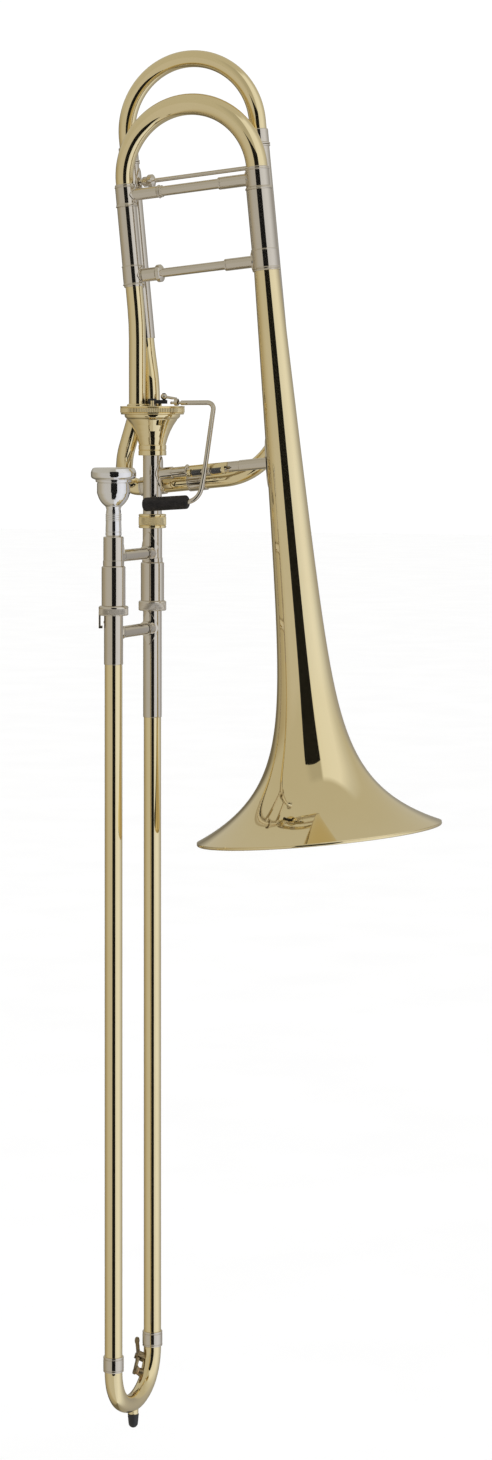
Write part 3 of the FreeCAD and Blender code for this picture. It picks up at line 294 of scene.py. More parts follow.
def cornered(corners):
    """Stations along straight runs joined by tangent bends: (corner, bend radius) each."""
    spots = [corner for corner, _ in corners]
    here = spots[0]
    before = (spots[1] - spots[0]).normalized()
    stations = [(here, before)]
    for index in range(1, len(spots) - 1):
        before = (spots[index] - spots[index - 1]).normalized()
        after = (spots[index + 1] - spots[index]).normalized()
        turn = before.angle(after)
        radius = corners[index][1]
        start = spots[index] - before * radius * math.tan(turn / 2)
        axis = before.cross(after).normalized()
        stations.append((start, before))
        stations += bend(start, before, start + axis.cross(before) * radius, axis, turn)
    stations.append((spots[-1], stations[-1][1]))
    return stations


def walked(where, steps):
    """Stations of a flat path in local XZ, from the origin and heading local Z.

    A step is (length,) for a straight run or (radius, degrees) for a bend, whose
    positive angles turn towards local X.
    """
    turn_axis = where.to_3x3() @ ALONG_Y
    heading = where.to_3x3() @ UP
    here = where.to_translation()
    stations = [(here, heading)]
    for step in steps:
        if len(step) == 1:
            here = here + heading * step[0]
            stations.append((here, heading))
            continue
        radius, degrees = step
        side = turn_axis.cross(heading) * math.copysign(1, degrees)
        stations += bend(here, heading, here + side * radius, turn_axis, math.radians(degrees))
        here, heading = stations[-1]
    return stations


def clean(stations):
    """The same stations without repeats, with holding stations near the ends."""
    kept = [stations[0]]
    for point, heading in stations[1:]:
        if (point - kept[-1][0]).length > 1e-4:
            kept.append((point, heading))
    first, last = kept[0], kept[-1]
    kept.insert(1, (first[0] + first[1] * HOLD, first[1]))
    kept.insert(-1, (last[0] - last[1] * HOLD, last[1]))
    return kept


def piped(stations, outer, inner=0, sides=64, widen=None):
    """A tube or rod along stations; outer and inner are diameters.

    widen gives what both diameters grow by at a share of the run.
    """
    stations = clean(stations)
    across = stations[0][1].orthogonal().normalized()
    runs = [0.0]
    for (first, _), (second, _) in zip(stations, stations[1:]):
        runs.append(runs[-1] + (second - first).length)
    skin, bore = [], []
    heading = stations[0][1]
    for (point, ahead), run in zip(stations, runs):
        across = heading.rotation_difference(ahead) @ across
        heading = ahead
        beside = ahead.cross(across)
        swell = widen(run / runs[-1]) if widen else 0
        for diameter, rings in ((outer, skin), (inner, bore)):
            radius = (diameter + swell) / 2 if diameter else 0
            ring = []
            for index in range(sides):
                angle = 2 * math.pi * index / sides
                ring.append(point + (across * math.cos(angle) + beside * math.sin(angle)) * radius)
            rings.append(ring)
    if inner:
        return Shell().grid(skin + bore[::-1], closed=True)
    return Shell().grid([bore[0]] + skin + [bore[-1]], closed=False)


def ball(centre, radius, sides=48):
    return turned([(0, -radius, radius), (0, radius)], place(centre), sides)


def block(where, width, depth, height, edge=0.4):
    """A box with rounded edges, standing on its local XY plane."""
    rings = []
    rise = [(0, edge), (edge * 0.12, edge * 0.5), (edge * 0.5, edge * 0.12), (edge, 0)]
    levels = [(0, width)] + rise + [(height - up, inset) for up, inset in rise[::-1]] + [(height, width)]
    for up, inset in levels:
        half_x = max(width / 2 - inset - edge, 0)
        half_y = max(depth / 2 - inset - edge, 0)
        corner = edge if inset < width / 2 else 0
        ring = []
        for quarter, (side_x, side_y) in enumerate(((1, 1), (-1, 1), (-1, -1), (1, -1))):
            for step in range(5):
                angle = math.pi / 2 * (quarter + step / 4)
                spot = Vector((side_x * half_x + corner * math.cos(angle),
                               side_y * half_y + corner * math.sin(angle), up))
                ring.append(where @ spot)
        rings.append(ring)
    return Shell().grid(rings, closed=False)


def flange(where, tube_radius, length, height, thickness=1.15):
    """A thin diamond plate wrapped on a tube along local Z, facing local X."""
    levels = [(0, -0.2), (1, -0.2), (1, thickness * 0.75), (0.985, thickness * 0.95), (0.96, thickness)]
    levels += [(share, thickness) for share in (0.93, 0.8, 0.6, 0.4, 0.2, 0)]
    sides = 96
    rings = []
    for share, lift in levels:
        ring = []
        for index in range(sides):
            angle = 2 * math.pi * index / sides
            along = math.copysign(abs(math.cos(angle)) ** 1.6, math.cos(angle)) * length / 2 * share
            around = math.copysign(abs(math.sin(angle)) ** 1.6, math.sin(angle)) * height / 2 * share
            turn = around / tube_radius
            radius = tube_radius + lift
            ring.append(where @ Vector((radius * math.cos(turn), radius * math.sin(turn), along)))
        rings.append(ring)
    return Shell().grid(rings, closed=False)


def piece(node, *shells):
    """The finished piece that stands for a CAD node, on the same body and in the same slot."""
    whole = Shell()
    for shell in shells:
        whole.merge(shell)
    mesh = bpy.data.meshes.new(node + "_skin")
    mesh.from_pydata([point * MM for point in whole.points], [], whole.faces)
    work = bmesh.new()
    work.from_mesh(mesh)
    bmesh.ops.remove_doubles(work, verts=work.verts, dist=2e-7)
    bmesh.ops.recalc_face_normals(work, faces=work.faces)
    work.to_mesh(mesh)
    work.free()
    mesh.shade_smooth()
    mesh.set_sharp_from_angle(angle=math.radians(40))
    item = bpy.data.objects.new(node + "_skin", mesh)
    bpy.context.scene.collection.objects.link(item)
    mesh.materials.append(FINISHES[SLOT_OF[node]])
    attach(item, BODY_OF[node])
    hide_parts(node)
    return item


# ------------------------------------------------------------ materials

def new_material(name):
    material = bpy.data.materials.new(name)
    material.use_nodes = True
    tree = material.node_tree
    shader = tree.nodes["Principled BSDF"]
    coordinate = tree.nodes.new("ShaderNodeTexCoord")
    return material, tree, shader, coordinate.outputs["Object"]


def noise(tree, vector, scale, detail=3.0, stretch=None):
    """A noise pattern at a scale in waves per metre; stretch multiplies it on each axis."""
    if stretch:
        mapping = tree.nodes.new("ShaderNodeMapping")
        mapping.inputs["Scale"].default_value = stretch
        tree.links.new(vector, mapping.inputs["Vector"])
        vector = mapping.outputs["Vector"]
    pattern = tree.nodes.new("ShaderNodeTexNoise")
    pattern.inputs["Scale"].default_value = scale
    pattern.inputs["Detail"].default_value = detail
    tree.links.new(vector, pattern.inputs["Vector"])
    return pattern.outputs["Fac"]


def blend_colours(tree, factor, dark, pale, start=0.35, end=0.65):
    ramp = tree.nodes.new("ShaderNodeValToRGB")
    ramp.color_ramp.elements[0].position = start
    ramp.color_ramp.elements[1].position = end
    ramp.color_ramp.elements[0].color = (*dark, 1)
    ramp.color_ramp.elements[1].color = (*pale, 1)
    tree.links.new(factor, ramp.inputs["Fac"])
    return ramp.outputs["Color"]


def spread(tree, factor, low_end, high_end):
    """A pattern's middle range spread over a span of values."""
    span = tree.nodes.new("ShaderNodeMapRange")
    span.inputs["From Min"].default_value = 0.3
    span.inputs["From Max"].default_value = 0.7
    span.inputs["To Min"].default_value = low_end
    span.inputs["To Max"].default_value = high_end
    tree.links.new(factor, span.inputs["Value"])
    return span.outputs["Result"]


def bump(tree, shader, height, strength, distance):
    node = tree.nodes.new("ShaderNodeBump")
    node.inputs["Strength"].default_value = strength
    node.inputs["Distance"].default_value = distance
    tree.links.new(height, node.inputs["Height"])
    tree.links.new(node.outputs["Normal"], shader.inputs["Normal"])


def polished(name, tint, deep, roughness, smudge, lacquer=0.0, ripple=0.006):
    """Buffed metal: slow drifts of tint, faint smudges and a very fine buffing grain."""
    material, tree, shader, where = new_material(name)
    shader.inputs["Metallic"].default_value = 1
    shader.inputs["Coat Weight"].default_value = lacquer
    shader.inputs["Coat Roughness"].default_value = 0.04
    shader.inputs["Coat IOR"].default_value = 1.45
    tree.links.new(blend_colours(tree, noise(tree, where, 14), deep, tint), shader.inputs["Base Color"])
    smudges = spread(tree, noise(tree, where, 70, 6), roughness, roughness + smudge)
    tree.links.new(smudges, shader.inputs["Roughness"])
    bump(tree, shader, noise(tree, where, 900, 2, (1, 1, 0.2)), ripple, 0.00005)
    return material


def dull(name, pale, dark, scale, roughness, rough_span, depth, strength=0.5):
    """A plain dull material with a mottled tint and a grain."""
    material, tree, shader, where = new_material(name)
    tree.links.new(blend_colours(tree, noise(tree, where, scale, 5), dark, pale), shader.inputs["Base Color"])
    rough = spread(tree, noise(tree, where, scale * 2, 4), roughness, roughness + rough_span)
    tree.links.new(rough, shader.inputs["Roughness"])
    bump(tree, shader, noise(tree, where, scale * 3, 6), strength, depth)
    return material


def leather(name):
    """Black leather: a pebbled grain of small cells with finer creases between."""
    material, tree, shader, where = new_material(name)
    cells = tree.nodes.new("ShaderNodeTexVoronoi")
    cells.feature = "DISTANCE_TO_EDGE"
    cells.inputs["Scale"].default_value = 900
    tree.links.new(where, cells.inputs["Vector"])
    grain = tree.nodes.new("ShaderNodeMath")
    grain.operation = "MULTIPLY_ADD"
    grain.inputs[1].default_value = 0.35
    tree.links.new(noise(tree, where, 2400, 4), grain.inputs[0])
    tree.links.new(cells.outputs["Distance"], grain.inputs[2])
    tint = blend_colours(tree, noise(tree, where, 160, 5), (0.006, 0.005, 0.005), (0.017, 0.014, 0.013))
    tree.links.new(tint, shader.inputs["Base Color"])
    tree.links.new(spread(tree, noise(tree, where, 300, 4), 0.42, 0.62), shader.inputs["Roughness"])
    shader.inputs["Specular IOR Level"].default_value = 0.35
    bump(tree, shader, grain.outputs["Value"], 0.7, 0.00018)
    return material


def ground(name, tint, deep, roughness):
    """Metal ground on a lathe: fine rings across the part's axis."""
    material, tree, shader, where = new_material(name)
    shader.inputs["Metallic"].default_value = 1
    rings = noise(tree, where, 260, 3, (0.2, 0.2, 9))
    tree.links.new(blend_colours(tree, rings, deep, tint), shader.inputs["Base Color"])
    tree.links.new(spread(tree, rings, roughness, roughness + 0.15), shader.inputs["Roughness"])
    bump(tree, shader, rings, 0.15, 0.00005)
    return material


FINISHES = {
    "lacquered_brass": polished("lacquered_brass", (0.88, 0.75, 0.45), (0.865, 0.73, 0.43), 0.03, 0.02, 0.15),
    "nickel_silver": polished("nickel_silver", (0.70, 0.645, 0.55), (0.68, 0.62, 0.52), 0.045, 0.03),
    "chrome_plate": polished("chrome_plate", (0.62, 0.63, 0.65), (0.60, 0.605, 0.62), 0.04, 0.04),
    "silver_plate": polished("silver_plate", (0.86, 0.845, 0.82), (0.83, 0.81, 0.78), 0.045, 0.03),
    "leadpipe_brass": ground("leadpipe_brass", (0.76, 0.60, 0.33), (0.62, 0.47, 0.25), 0.25),
    "aged_bronze": ground("aged_bronze", (0.40, 0.31, 0.17), (0.20, 0.15, 0.09), 0.25),
    "rotor_metal": ground("rotor_metal", (0.62, 0.62, 0.63), (0.50, 0.50, 0.51), 0.2),
    "spring_steel": ground("spring_steel", (0.22, 0.215, 0.21), (0.12, 0.12, 0.12), 0.25),
    "cork": dull("cork", (0.56, 0.37, 0.20), (0.33, 0.19, 0.10), 600, 0.7, 0.2, 0.0003),
    "bumper_felt": dull("bumper_felt", (0.05, 0.05, 0.055), (0.02, 0.02, 0.022), 900, 0.85, 0.1, 0.0004, 0.8),
    "black_rubber": dull("black_rubber", (0.018, 0.018, 0.019), (0.010, 0.010, 0.011),
                         350, 0.38, 0.15, 0.00008),
    "black_anodised": dull("black_anodised", (0.014, 0.014, 0.015), (0.008, 0.008, 0.009),
                           500, 0.3, 0.1, 0.00004),
    "black_leather": leather("black_leather"),
}


# ------------------------------------------------------------ hand slide

INNER = 7.25
STOCKING = 7.375
SLIDE_BORE = 6.95
OUTER = 7.725
OUTER_BORE = 7.45
OVERSLEEVE = 8.3
BARREL = 10.4
BARREL_BORE = 9.0
BARREL_RING = 12.4
MOUTH_RECEIVER = 8.85
BELL_RECEIVER = 8.65
BRACE_ROD = 5.2
NEAR_SLEEVE = 6.2
FAR_SLEEVE = 6.4
BRACE_FLANGE = 17


def inner_slide():
    for side, where in (("near", NEAR_PLACE), ("far", FAR_PLACE)):
        node = "inner_tube_" + side
        foot, top = low(node).z, high(node).z
        outline = [(SLIDE_BORE, foot), (STOCKING, foot), (STOCKING, foot + 120), (INNER, foot + 120.6),
                   (INNER, top), (SLIDE_BORE, top)]
        piece(node, turned(outline, where, edge=0.1))
        node = "cork_barrel_" + side
        foot, top = low(node).z, high(node).z
        outline = [(INNER, top - 1.8), (BARREL_BORE, top - 1.8), (BARREL_BORE, foot), (BARREL, foot),
                   (BARREL, top - 1.1, 1.2), (BARREL - 1.1, top), (INNER, top)]
        piece(node, turned(outline, where))
    node = "barrel_end_ring"
    foot, top = low(node).z, high(node).z
    outline = [(BARREL_BORE, foot), (BARREL_RING - 1.2, foot, 1.2), (BARREL_RING, foot + 1.2),
               (BARREL_RING, top - 1.6, 1.6), (BARREL_RING - 1.6, top), (BARREL_BORE, top)]
    piece(node, turned(outline, FAR_PLACE, 576, teeth=(96, 0.16, foot + 1.2, top - 1.7)))


def receivers():
    foot, top = low("mouthpiece_receiver").z, high("mouthpiece_receiver").z
    outline = [(6.1, foot), (9.2, foot), (9.2, foot + 4.6, 0.6), (MOUTH_RECEIVER, foot + 5),
               (MOUTH_RECEIVER, top - 1.2, 1.2), (8.05, top), (6.5, top)]
    piece("mouthpiece_receiver", turned(outline, NEAR_PLACE))
    foot, top = low("bell_receiver").z, high("bell_receiver").z
    outline = [(6.8, foot), (9.2, foot), (9.2, foot + 3.7, 0.6), (BELL_RECEIVER, foot + 4.1),
               (BELL_RECEIVER, top), (7.5, top), (7.16, foot + 4.8), (6.8, foot + 4.8)]
    piece("bell_receiver", turned(outline, FAR_PLACE))


def slide_brace(node, height, lift, near_radius, far_radius, near_plate, far_plate):
    """A rod in two sleeves with a small shoulder at each sleeve's end, and a plate on each tube."""
    near_end = near_radius + 7
    far_end = GAP - far_radius - 9
    outline = [(0, 0), (NEAR_SLEEVE, 0), *groove(NEAR_SLEEVE, near_end - 1.7), (NEAR_SLEEVE, near_end),
               (BRACE_ROD, near_end + 0.1), (BRACE_ROD, far_end - 0.1), (FAR_SLEEVE, far_end),
               *groove(FAR_SLEEVE, far_end + 1.7), (FAR_SLEEVE, GAP), (0, GAP)]
    start = NEAR + UP * height
    bar = turned(outline, place(start, ALONG_Y, UP), 96, saddle=(GAP, near_radius, far_radius))
    level = UP * (height + lift)
    near_side = flange(place(NEAR + level, UP, ALONG_Y), near_radius, near_plate, BRACE_FLANGE)
    far_side = flange(place(FAR + level, UP, -ALONG_Y), far_radius, far_plate, BRACE_FLANGE)
    piece(node, bar, near_side, far_side)


def ferrule_outline(outer, inner, foot, length):
    """A ferrule with a turned line near each end; outer and inner are radii."""
    top = foot + length
    return [(inner, foot), (outer - 0.2, foot), (outer, foot + 0.4), *groove(outer, foot + 1.8),
            *groove(outer, top - 1.8), (outer, top - 0.4), (outer - 0.2, top), (inner, top)]


BOW_CORNER = 36
BOW_DEPTH = 38
BOW_RUN = 0.5


def outer_slide():
    ferrules = []
    for side, where in (("near", NEAR_PLACE), ("far", FAR_PLACE)):
        node = "outer_tube_" + side
        piece(node, turned(ring_outline(OUTER, OUTER_BORE, low(node).z, high(node).z), where, edge=0.1))
        node = "oversleeve_" + side
        foot, top = low(node).z, high(node).z
        outline = [(OUTER, foot), (OVERSLEEVE - 0.2, foot), (OVERSLEEVE, foot + 0.5), (OVERSLEEVE, top),
                   (OUTER, top)]
        piece(node, turned(outline, where, edge=0.12))
        foot, top = low("bow_ferrules").z, high("bow_ferrules").z
        ferrules.append(turned(ferrule_outline(8.9, OUTER, foot, top - foot), where, 192, 0.12))
    piece("bow_ferrules", *ferrules)
    slide_bow()


def slide_bow():
    """The bow is a flattened U: two tight corners joined by a wide arc."""
    spare = GAP / 2 - BOW_CORNER
    drop = BOW_DEPTH - BOW_CORNER
    wide = BOW_CORNER + (spare * spare + drop * drop) / (2 * drop)
    rest = math.degrees(math.asin(spare / (wide - BOW_CORNER)))
    start = Vector((NEAR.x, NEAR.y, low("outer_tube_near").z - 0.5))
    corner = (BOW_CORNER, 90 - rest)
    steps = [(BOW_RUN,), corner, (wide, 2 * rest), corner, (BOW_RUN,)]
    bow = piped(walked(place(start, -UP, ALONG_Y), steps), 2 * OUTER, 2 * OUTER_BORE - 0.4, 96)
    piece("slide_bow", bow)


def bow_fittings():
    foot = low("bow_collar").z
    centre = Vector((middle("bow_collar").x, middle("bow_collar").y, 0))
    crown = high("bow_collar").z
    outline = [(0, foot), (4.3, foot, 0.5), (4.6, foot + 0.6), (4.6, crown), (0, crown)]
    piece("bow_collar", turned(outline, place(centre), 96))
    foot, top = low("bow_bumper").z, high("bow_bumper").z
    outline = [(0, foot - 1, 4.25), (4.1, foot + 2.2), (4.9, top - 0.6), (4.9, top), (0, top)]
    piece("bow_bumper", turned(outline, place(centre), 96, 0.15))


HOOK_TURN = math.radians(21.5)


def lock_ring():
    node = "slide_lock_ring"
    top = high(node).z
    wide = BARREL_RING + 0.5
    bore = OVERSLEEVE + 0.4
    ring_foot = top - 8.1
    ring = [(bore, top), (bore, ring_foot), (BARREL_RING - 0.6, ring_foot, 1), (wide, ring_foot + 0.9),
            (wide, top - 2.1, 1.8), (BARREL - 0.1, top)]
    collar = turned(ring, NEAR_PLACE, 576, teeth=(96, 0.3, ring_foot + 1, top - 2.2))
    strip_foot = low(node).z
    out = Vector((-math.cos(HOOK_TURN), -math.sin(HOOK_TURN), 0))
    strip = block(place(NEAR + out * (wide - 0.85) + UP * strip_foot, UP, out), 1.7, 6, 15, 0.4)
    toe = block(place(NEAR + out * (wide - 1.7) + UP * strip_foot, UP, out), 3.4, 6, 2.2, 0.4)
    piece(node, collar, strip, toe)


# ------------------------------------------------------------ mouthpiece and lock nut

def mouthpiece():
    """Rim, cup, throat with its turned beads, and the shank that goes into the receiver."""
    foot = low("mouthpiece").z
    rim = high("mouthpiece").z
    outline = [(5.1, foot), (5.85, foot), (6.38, 17.6), (7.0, 18.4)] + groove(7.0, 21.4, 0.3)
    for bead in range(4):
        level = 31 + 1.6 * bead
        outline += [(6.7, level, 1.0), (6.7, level + 1.4), (6.55, level + 1.5)]
    outline += [
        (6.6, 38.2), (6.2, 41), (7.0, 43.5, 18), (13.85, 53.5, 6), (14.45, 57), (14.45, 63.6),
        (14.1, 63.8), (14.1, 64.4), (15.45, 64.8), (15.75, 66.2), (15.5, 66.6), (18.3, 67.8, 3),
        (19.7, 71, 6), (18.7, 75.6, 2.4), (16.5, rim, 5), (13.4, rim - 0.9, 2), (12.8, rim - 2.7),
        (11.4, 60, -16), (5, 50.2, 5), (3.6, 46.5), (3.6, 40),
    ]
    piece("mouthpiece", turned(outline, NEAR_PLACE, 192, 0.15))


def lock_nut():
    foot, top = low("bell_lock_nut").z, high("bell_lock_nut").z
    outline = [(8.8, foot), (11.6, foot, 0.8), (12.3, foot + 0.8), (12.3, foot + 1.9), (11.7, foot + 2.2),
               (12.4, foot + 2.6), (12.4, top - 2.6), (11.7, top - 2.2), (12.3, top - 1.9),
               (12.3, top - 0.8, 0.8), (11.6, top), (8.8, top)]
    nut = turned(outline, FAR_PLACE, 432, 0.15, teeth=(72, 0.5, foot + 2.8, top - 2.8))
    piece("bell_lock_nut", nut)


# ------------------------------------------------------------ valve

OPEN_PORT = 180
F_PORT = 116
PORT_RADIUS = 14.5
TUBE = 7.7
F_TUBE = 7.6


def port(azimuth, height):
    """The centre of a port on the valve's top plate."""
    angle = math.radians(azimuth)
    return far_point(PORT_RADIUS * math.cos(angle), PORT_RADIUS * math.sin(angle), height)


def valve():
    neck_top = high("neckpipe").z
    outline = [(6.5, -3.5), (7.1, -3.5), (7.45, 30.4), (8.45, 30.4), (8.45, neck_top), (7.2, neck_top),
               (7.2, 40)]
    piece("neckpipe", turned(outline, FAR_PLACE))
    foot = low("valve_casing").z
    top = high("valve_casing").z
    outline = [
        (8.45, foot), (12.2, foot, 0.4), (12.5, foot + 0.4), (12.5, foot + 4.2), (12.0, foot + 4.5),
        (12.0, foot + 4.9), (12.5, foot + 5.2), (12.5, foot + 9.0), (12.0, foot + 9.3), (12.0, foot + 9.7),
        (12.3, foot + 10.5, -58), (22.2, foot + 31.8), (22.2, foot + 32.2), (24.3, foot + 33.9),
        (24.9, foot + 35.2), (24.9, top), (23.4, top), (23.4, top - 2.5), (21.0, top - 2.5),
        (9.0, foot + 9.9), (8.45, foot + 9.9),
    ]
    piece("valve_casing", turned(outline, FAR_PLACE, 192, 0.12))
    foot, top = low("valve_cap").z, high("valve_cap").z
    outline = [(23.5, foot), (27.6, foot, 1.2), (28.4, foot + 0.8), (28.4, foot + 1.2), (27.9, foot + 1.5),
               (28.85, foot + 1.9), (28.85, top - 1.9), (28.3, top - 1.6), (29.0, top - 1.2),
               (29.0, top - 0.8, 0.9), (28.1, top), (23.5, top)]
    piece("valve_cap", turned(outline, FAR_PLACE, 864, 0.12, teeth=(108, 0.4, foot + 1.9, top - 1.9)))


RETURN_TOP = (-16.1, 0, 121)
RETURN_KNEE = (-26.4, 0, 88)
SEAM_LEVEL = 103
RETURN_END = -14
SLEEVE_END = 122
F_BRACE_LEVEL = 103


def f_tubing():
    plate_top = high("valve_cap").z - 0.2
    start = port(F_PORT, plate_top)
    route = [(start, 0), (start + UP * 20, 70), (leg_point(F_LEFT, -46, F_BACK), 70),
             (leg_point(F_LEFT, -20, F_BACK), 0)]
    piece("f_out_tube", piped(cornered(route), 2 * F_TUBE, 2 * F_TUBE - 1))
    top, knee = far_point(*RETURN_TOP), far_point(*RETURN_KNEE)
    return_end = leg_point(RETURN_END, F_LOW, F_BACK)
    route = [(top, 0), (knee, 25), (leg_point(-38.5, F_LOW, F_BACK), 12.3), (return_end, 0)]
    down = (knee - top).normalized()
    seam = top + down * (RETURN_TOP[2] - SEAM_LEVEL) / -down.z
    band = turned(ring_outline(F_TUBE + 0.14, F_TUBE - 0.3, -0.3, 0.3), place(seam, down), 96, 0.08)
    piece("f_return_bow", piped(cornered(route), 2 * F_TUBE, 2 * F_TUBE - 1), band)
    route = [(return_end, 0), (leg_point(F_RIGHT, F_LOW, F_BACK), 62),
             (leg_point(F_RIGHT, -30, F_BACK), 0)]
    piece("f_lower_crook", piped(cornered(route), 2 * F_TUBE, 2 * F_TUBE - 1))
    cuffs = []
    for across, length in ((-20, 24), (27, 17)):
        where = place(leg_point(across, F_LOW, F_BACK), CROSS, UP)
        cuffs.append(turned(ferrule_outline(F_TUBE + 1.05, F_TUBE, 0, length), where, edge=0.12))
    piece("f_cuffs", *cuffs)
    for side, across, foot in (("left", F_LEFT, -38), ("right", F_RIGHT, -48)):
        end = SLEEVE_END - foot
        outline = [(7.3, 18), (F_TUBE, 18), (F_TUBE, 0), (F_TUBE + 0.9, 0), (F_TUBE + 0.9, end - 2),
                   (F_TUBE + 1.5, end - 1.7, 0.9), (F_TUBE + 1.5, end - 0.3), (F_TUBE + 0.9, end), (7.3, end)]
        piece("f_sleeve_" + side, turned(outline, leg_place(across, foot, F_BACK), edge=0.12))


def f_brace():
    span = F_RIGHT - F_LEFT
    sleeve = F_TUBE + 0.9
    outline = [(0, 0), (4.2, 0), (3.6, 8.7, -6), (2.4, 11.2), (2.4, 11.6), (4.4, 12.1), (4.6, 12.8),
               (4.6, 16.4), (4.1, 16.7), (5.6, 17.1), (6.0, 17.8), (6.0, 21.2), (5.5, 21.8), (4.2, 22.3),
               (2.0, 23.4), (2.0, span - 13.6), (3.1, span - 13.3, 0.9), (3.1, span - 11.8),
               (2.4, span - 11.4), (2.6, span), (0, span)]
    bar = turned(outline, place(leg_point(F_LEFT, F_BRACE_LEVEL, F_BACK), CROSS, LEG_UP), 96, 0.12,
                 saddle=(span, sleeve, sleeve))
    plate = flange(leg_place(F_LEFT, F_BRACE_LEVEL, F_BACK), sleeve, 26, 13)
    piece("f_brace", bar, plate)


def gooseneck():
    start = port(OPEN_PORT, high("valve_cap").z - 0.2)
    back = (LEG_FOOT.x - start.x) / LEG_UP.x
    knee = LEG_FOOT - LEG_UP * back
    route = [(start, 0), (knee, 300), (leg_point(0, 18), 0)]
    collar = [(TUBE, 0), (9.4, 0), (9.4, 1.3), (TUBE + 0.9, 2.1), (TUBE, 2.3)]
    tube = piped(cornered(route), 2 * TUBE, 2 * TUBE - 1, 96)
    piece("gooseneck", tube, turned(collar, place(start), edge=0.15))


# ------------------------------------------------------------ tuning slides

LEFT_TUBE = 7.85
RIGHT_TUBE = 9.6
LEFT_CUFF = 8.95
RIGHT_CUFF = 10.4
CROOK_LEVEL = 100.3
TUNING_BRACE_LEVEL = 90
BODY_BRACE_LEVEL = 17.3


def tuning_slide():
    sides = (
        ("left", 0, LEFT_TUBE + 0.95, LEFT_TUBE + 0.25, TUBE, LEFT_TUBE, LEFT_CUFF),
        ("right", LEG_GAP, RIGHT_TUBE + 1.9, RIGHT_TUBE + 1.1, 11.65, RIGHT_TUBE, RIGHT_CUFF),
    )
    lower, upper, legs = [], [], []
    for side, across, sleeve, leg, tail, crook, cuff in sides:
        where = leg_place(across)
        tube = ring_outline(sleeve, leg + 0.15, SLEEVE_FOOT, SLEEVE_TOP)
        piece("tuning_sleeve_" + side, turned(tube, where, edge=0.15))
        lower.append(turned([
            (tail, 7.8), (tail + 0.9, 7.8), (sleeve + 0.2, 9.4), (sleeve + 0.55, 9.8, 0.5),
            (sleeve + 0.55, 10.8), (sleeve + 0.35, 11), (sleeve + 0.35, 26), (sleeve + 0.55, 26.2, 0.5),
            (sleeve + 0.55, 27), (sleeve, 27.2), (sleeve, SLEEVE_FOOT), (tail, SLEEVE_FOOT),
        ], where, edge=0.12))
        legs.append(turned(ring_outline(leg, crook - 0.6, 24, SLEEVE_TOP + 2), where, edge=0.1))
        level = SLEEVE_TOP
        upper.append(turned([
            (leg, level + 0.15), (leg + 1.1, level + 0.15), (leg + 1.45, level + 0.5, 0.6),
            (leg + 1.45, level + 1.3), (leg + 1.1, level + 1.7), (leg + 1.1, level + 2.2),
            (cuff, level + 3), (cuff, CROOK_LEVEL - 3), (cuff + 0.3, CROOK_LEVEL - 2.8, 0.5),
            (cuff + 0.3, CROOK_LEVEL - 2.0), (cuff, CROOK_LEVEL - 1.8), (cuff, CROOK_LEVEL - 0.6),
            (cuff - 0.4, CROOK_LEVEL), (crook, CROOK_LEVEL), (crook, level + 2), (leg, level + 2),
        ], where, edge=0.12))
    piece("sleeve_ferrules", *lower)
    piece("tuning_legs", *legs)
    piece("crook_ferrules", *upper)
    main_crook()


def main_crook():
    """The main crook widens from the left leg to the right, most of it over the bend."""
    root = SLEEVE_TOP + 2.2
    straight = CROOK_LEVEL - root
    radius = LEG_GAP / 2
    route = walked(leg_place(0, root), [(straight,), (radius, 180), (straight,)])
    run = 2 * straight + math.pi * radius

    def widen(share):
        bent = (share * run - straight) / (math.pi * radius)
        bent = min(max(bent, 0), 1)
        return 2 * (RIGHT_TUBE - LEFT_TUBE) * bent + 1.6 * math.sin(math.pi * bent)
    piece("tuning_crook", piped(route, 2 * LEFT_TUBE, 2 * LEFT_TUBE - 1.2, 128, widen))


def leg_brace(node, up, outline, left_radius, right_radius, left_plate, right_plate):
    bar = turned(outline, place(leg_point(0, up), CROSS, LEG_UP), 96, 0.15,
                 saddle=(LEG_GAP, left_radius, right_radius))
    left = flange(leg_place(0, up), left_radius, left_plate, 14)
    right_where = place(leg_point(LEG_GAP, up), LEG_UP, -CROSS)
    right = flange(right_where, right_radius, right_plate, 15)
    piece(node, bar, left, right)


def leg_braces():
    leg_brace("tuning_brace", TUNING_BRACE_LEVEL, [
        (0, 0), (5.35, 0), (5.35, 31.4), (4.9, 31.7), (4.9, 32.1), (5.8, 32.4, 0.6), (5.8, 33.5),
        (4.9, 33.8), (4.9, 34.2), (5.35, 34.5), (5.35, 36), (4.5, 36.2), (4.5, LEG_GAP - 37.2),
        (5.6, LEG_GAP - 37), *groove(5.6, LEG_GAP - 34.8), (5.6, LEG_GAP), (0, LEG_GAP),
    ], LEFT_CUFF, RIGHT_CUFF, 15, 15)
    leg_brace("body_brace", BODY_BRACE_LEVEL, [
        (0, 0), (4.8, 0), (4.8, 9.6), (6.1, 10.6), (6.1, 23), (5.6, 23.3), (7.4, 23.7), (7.9, 24.4),
        (7.9, 27.4), (7.3, 28.1), (6, 28.6), (4.1, 29.2), (4.1, LEG_GAP - 38.2), (5.4, LEG_GAP - 38),
        *groove(5.4, LEG_GAP - 36.2), (5.4, LEG_GAP), (0, LEG_GAP),
    ], LEFT_TUBE + 1.3, RIGHT_TUBE + 2.25, 18, 18)


F_CROOK_LEVEL = 136
FERRULE_SOCKET = 8
F_CROOK_STRAIGHT = 8.4


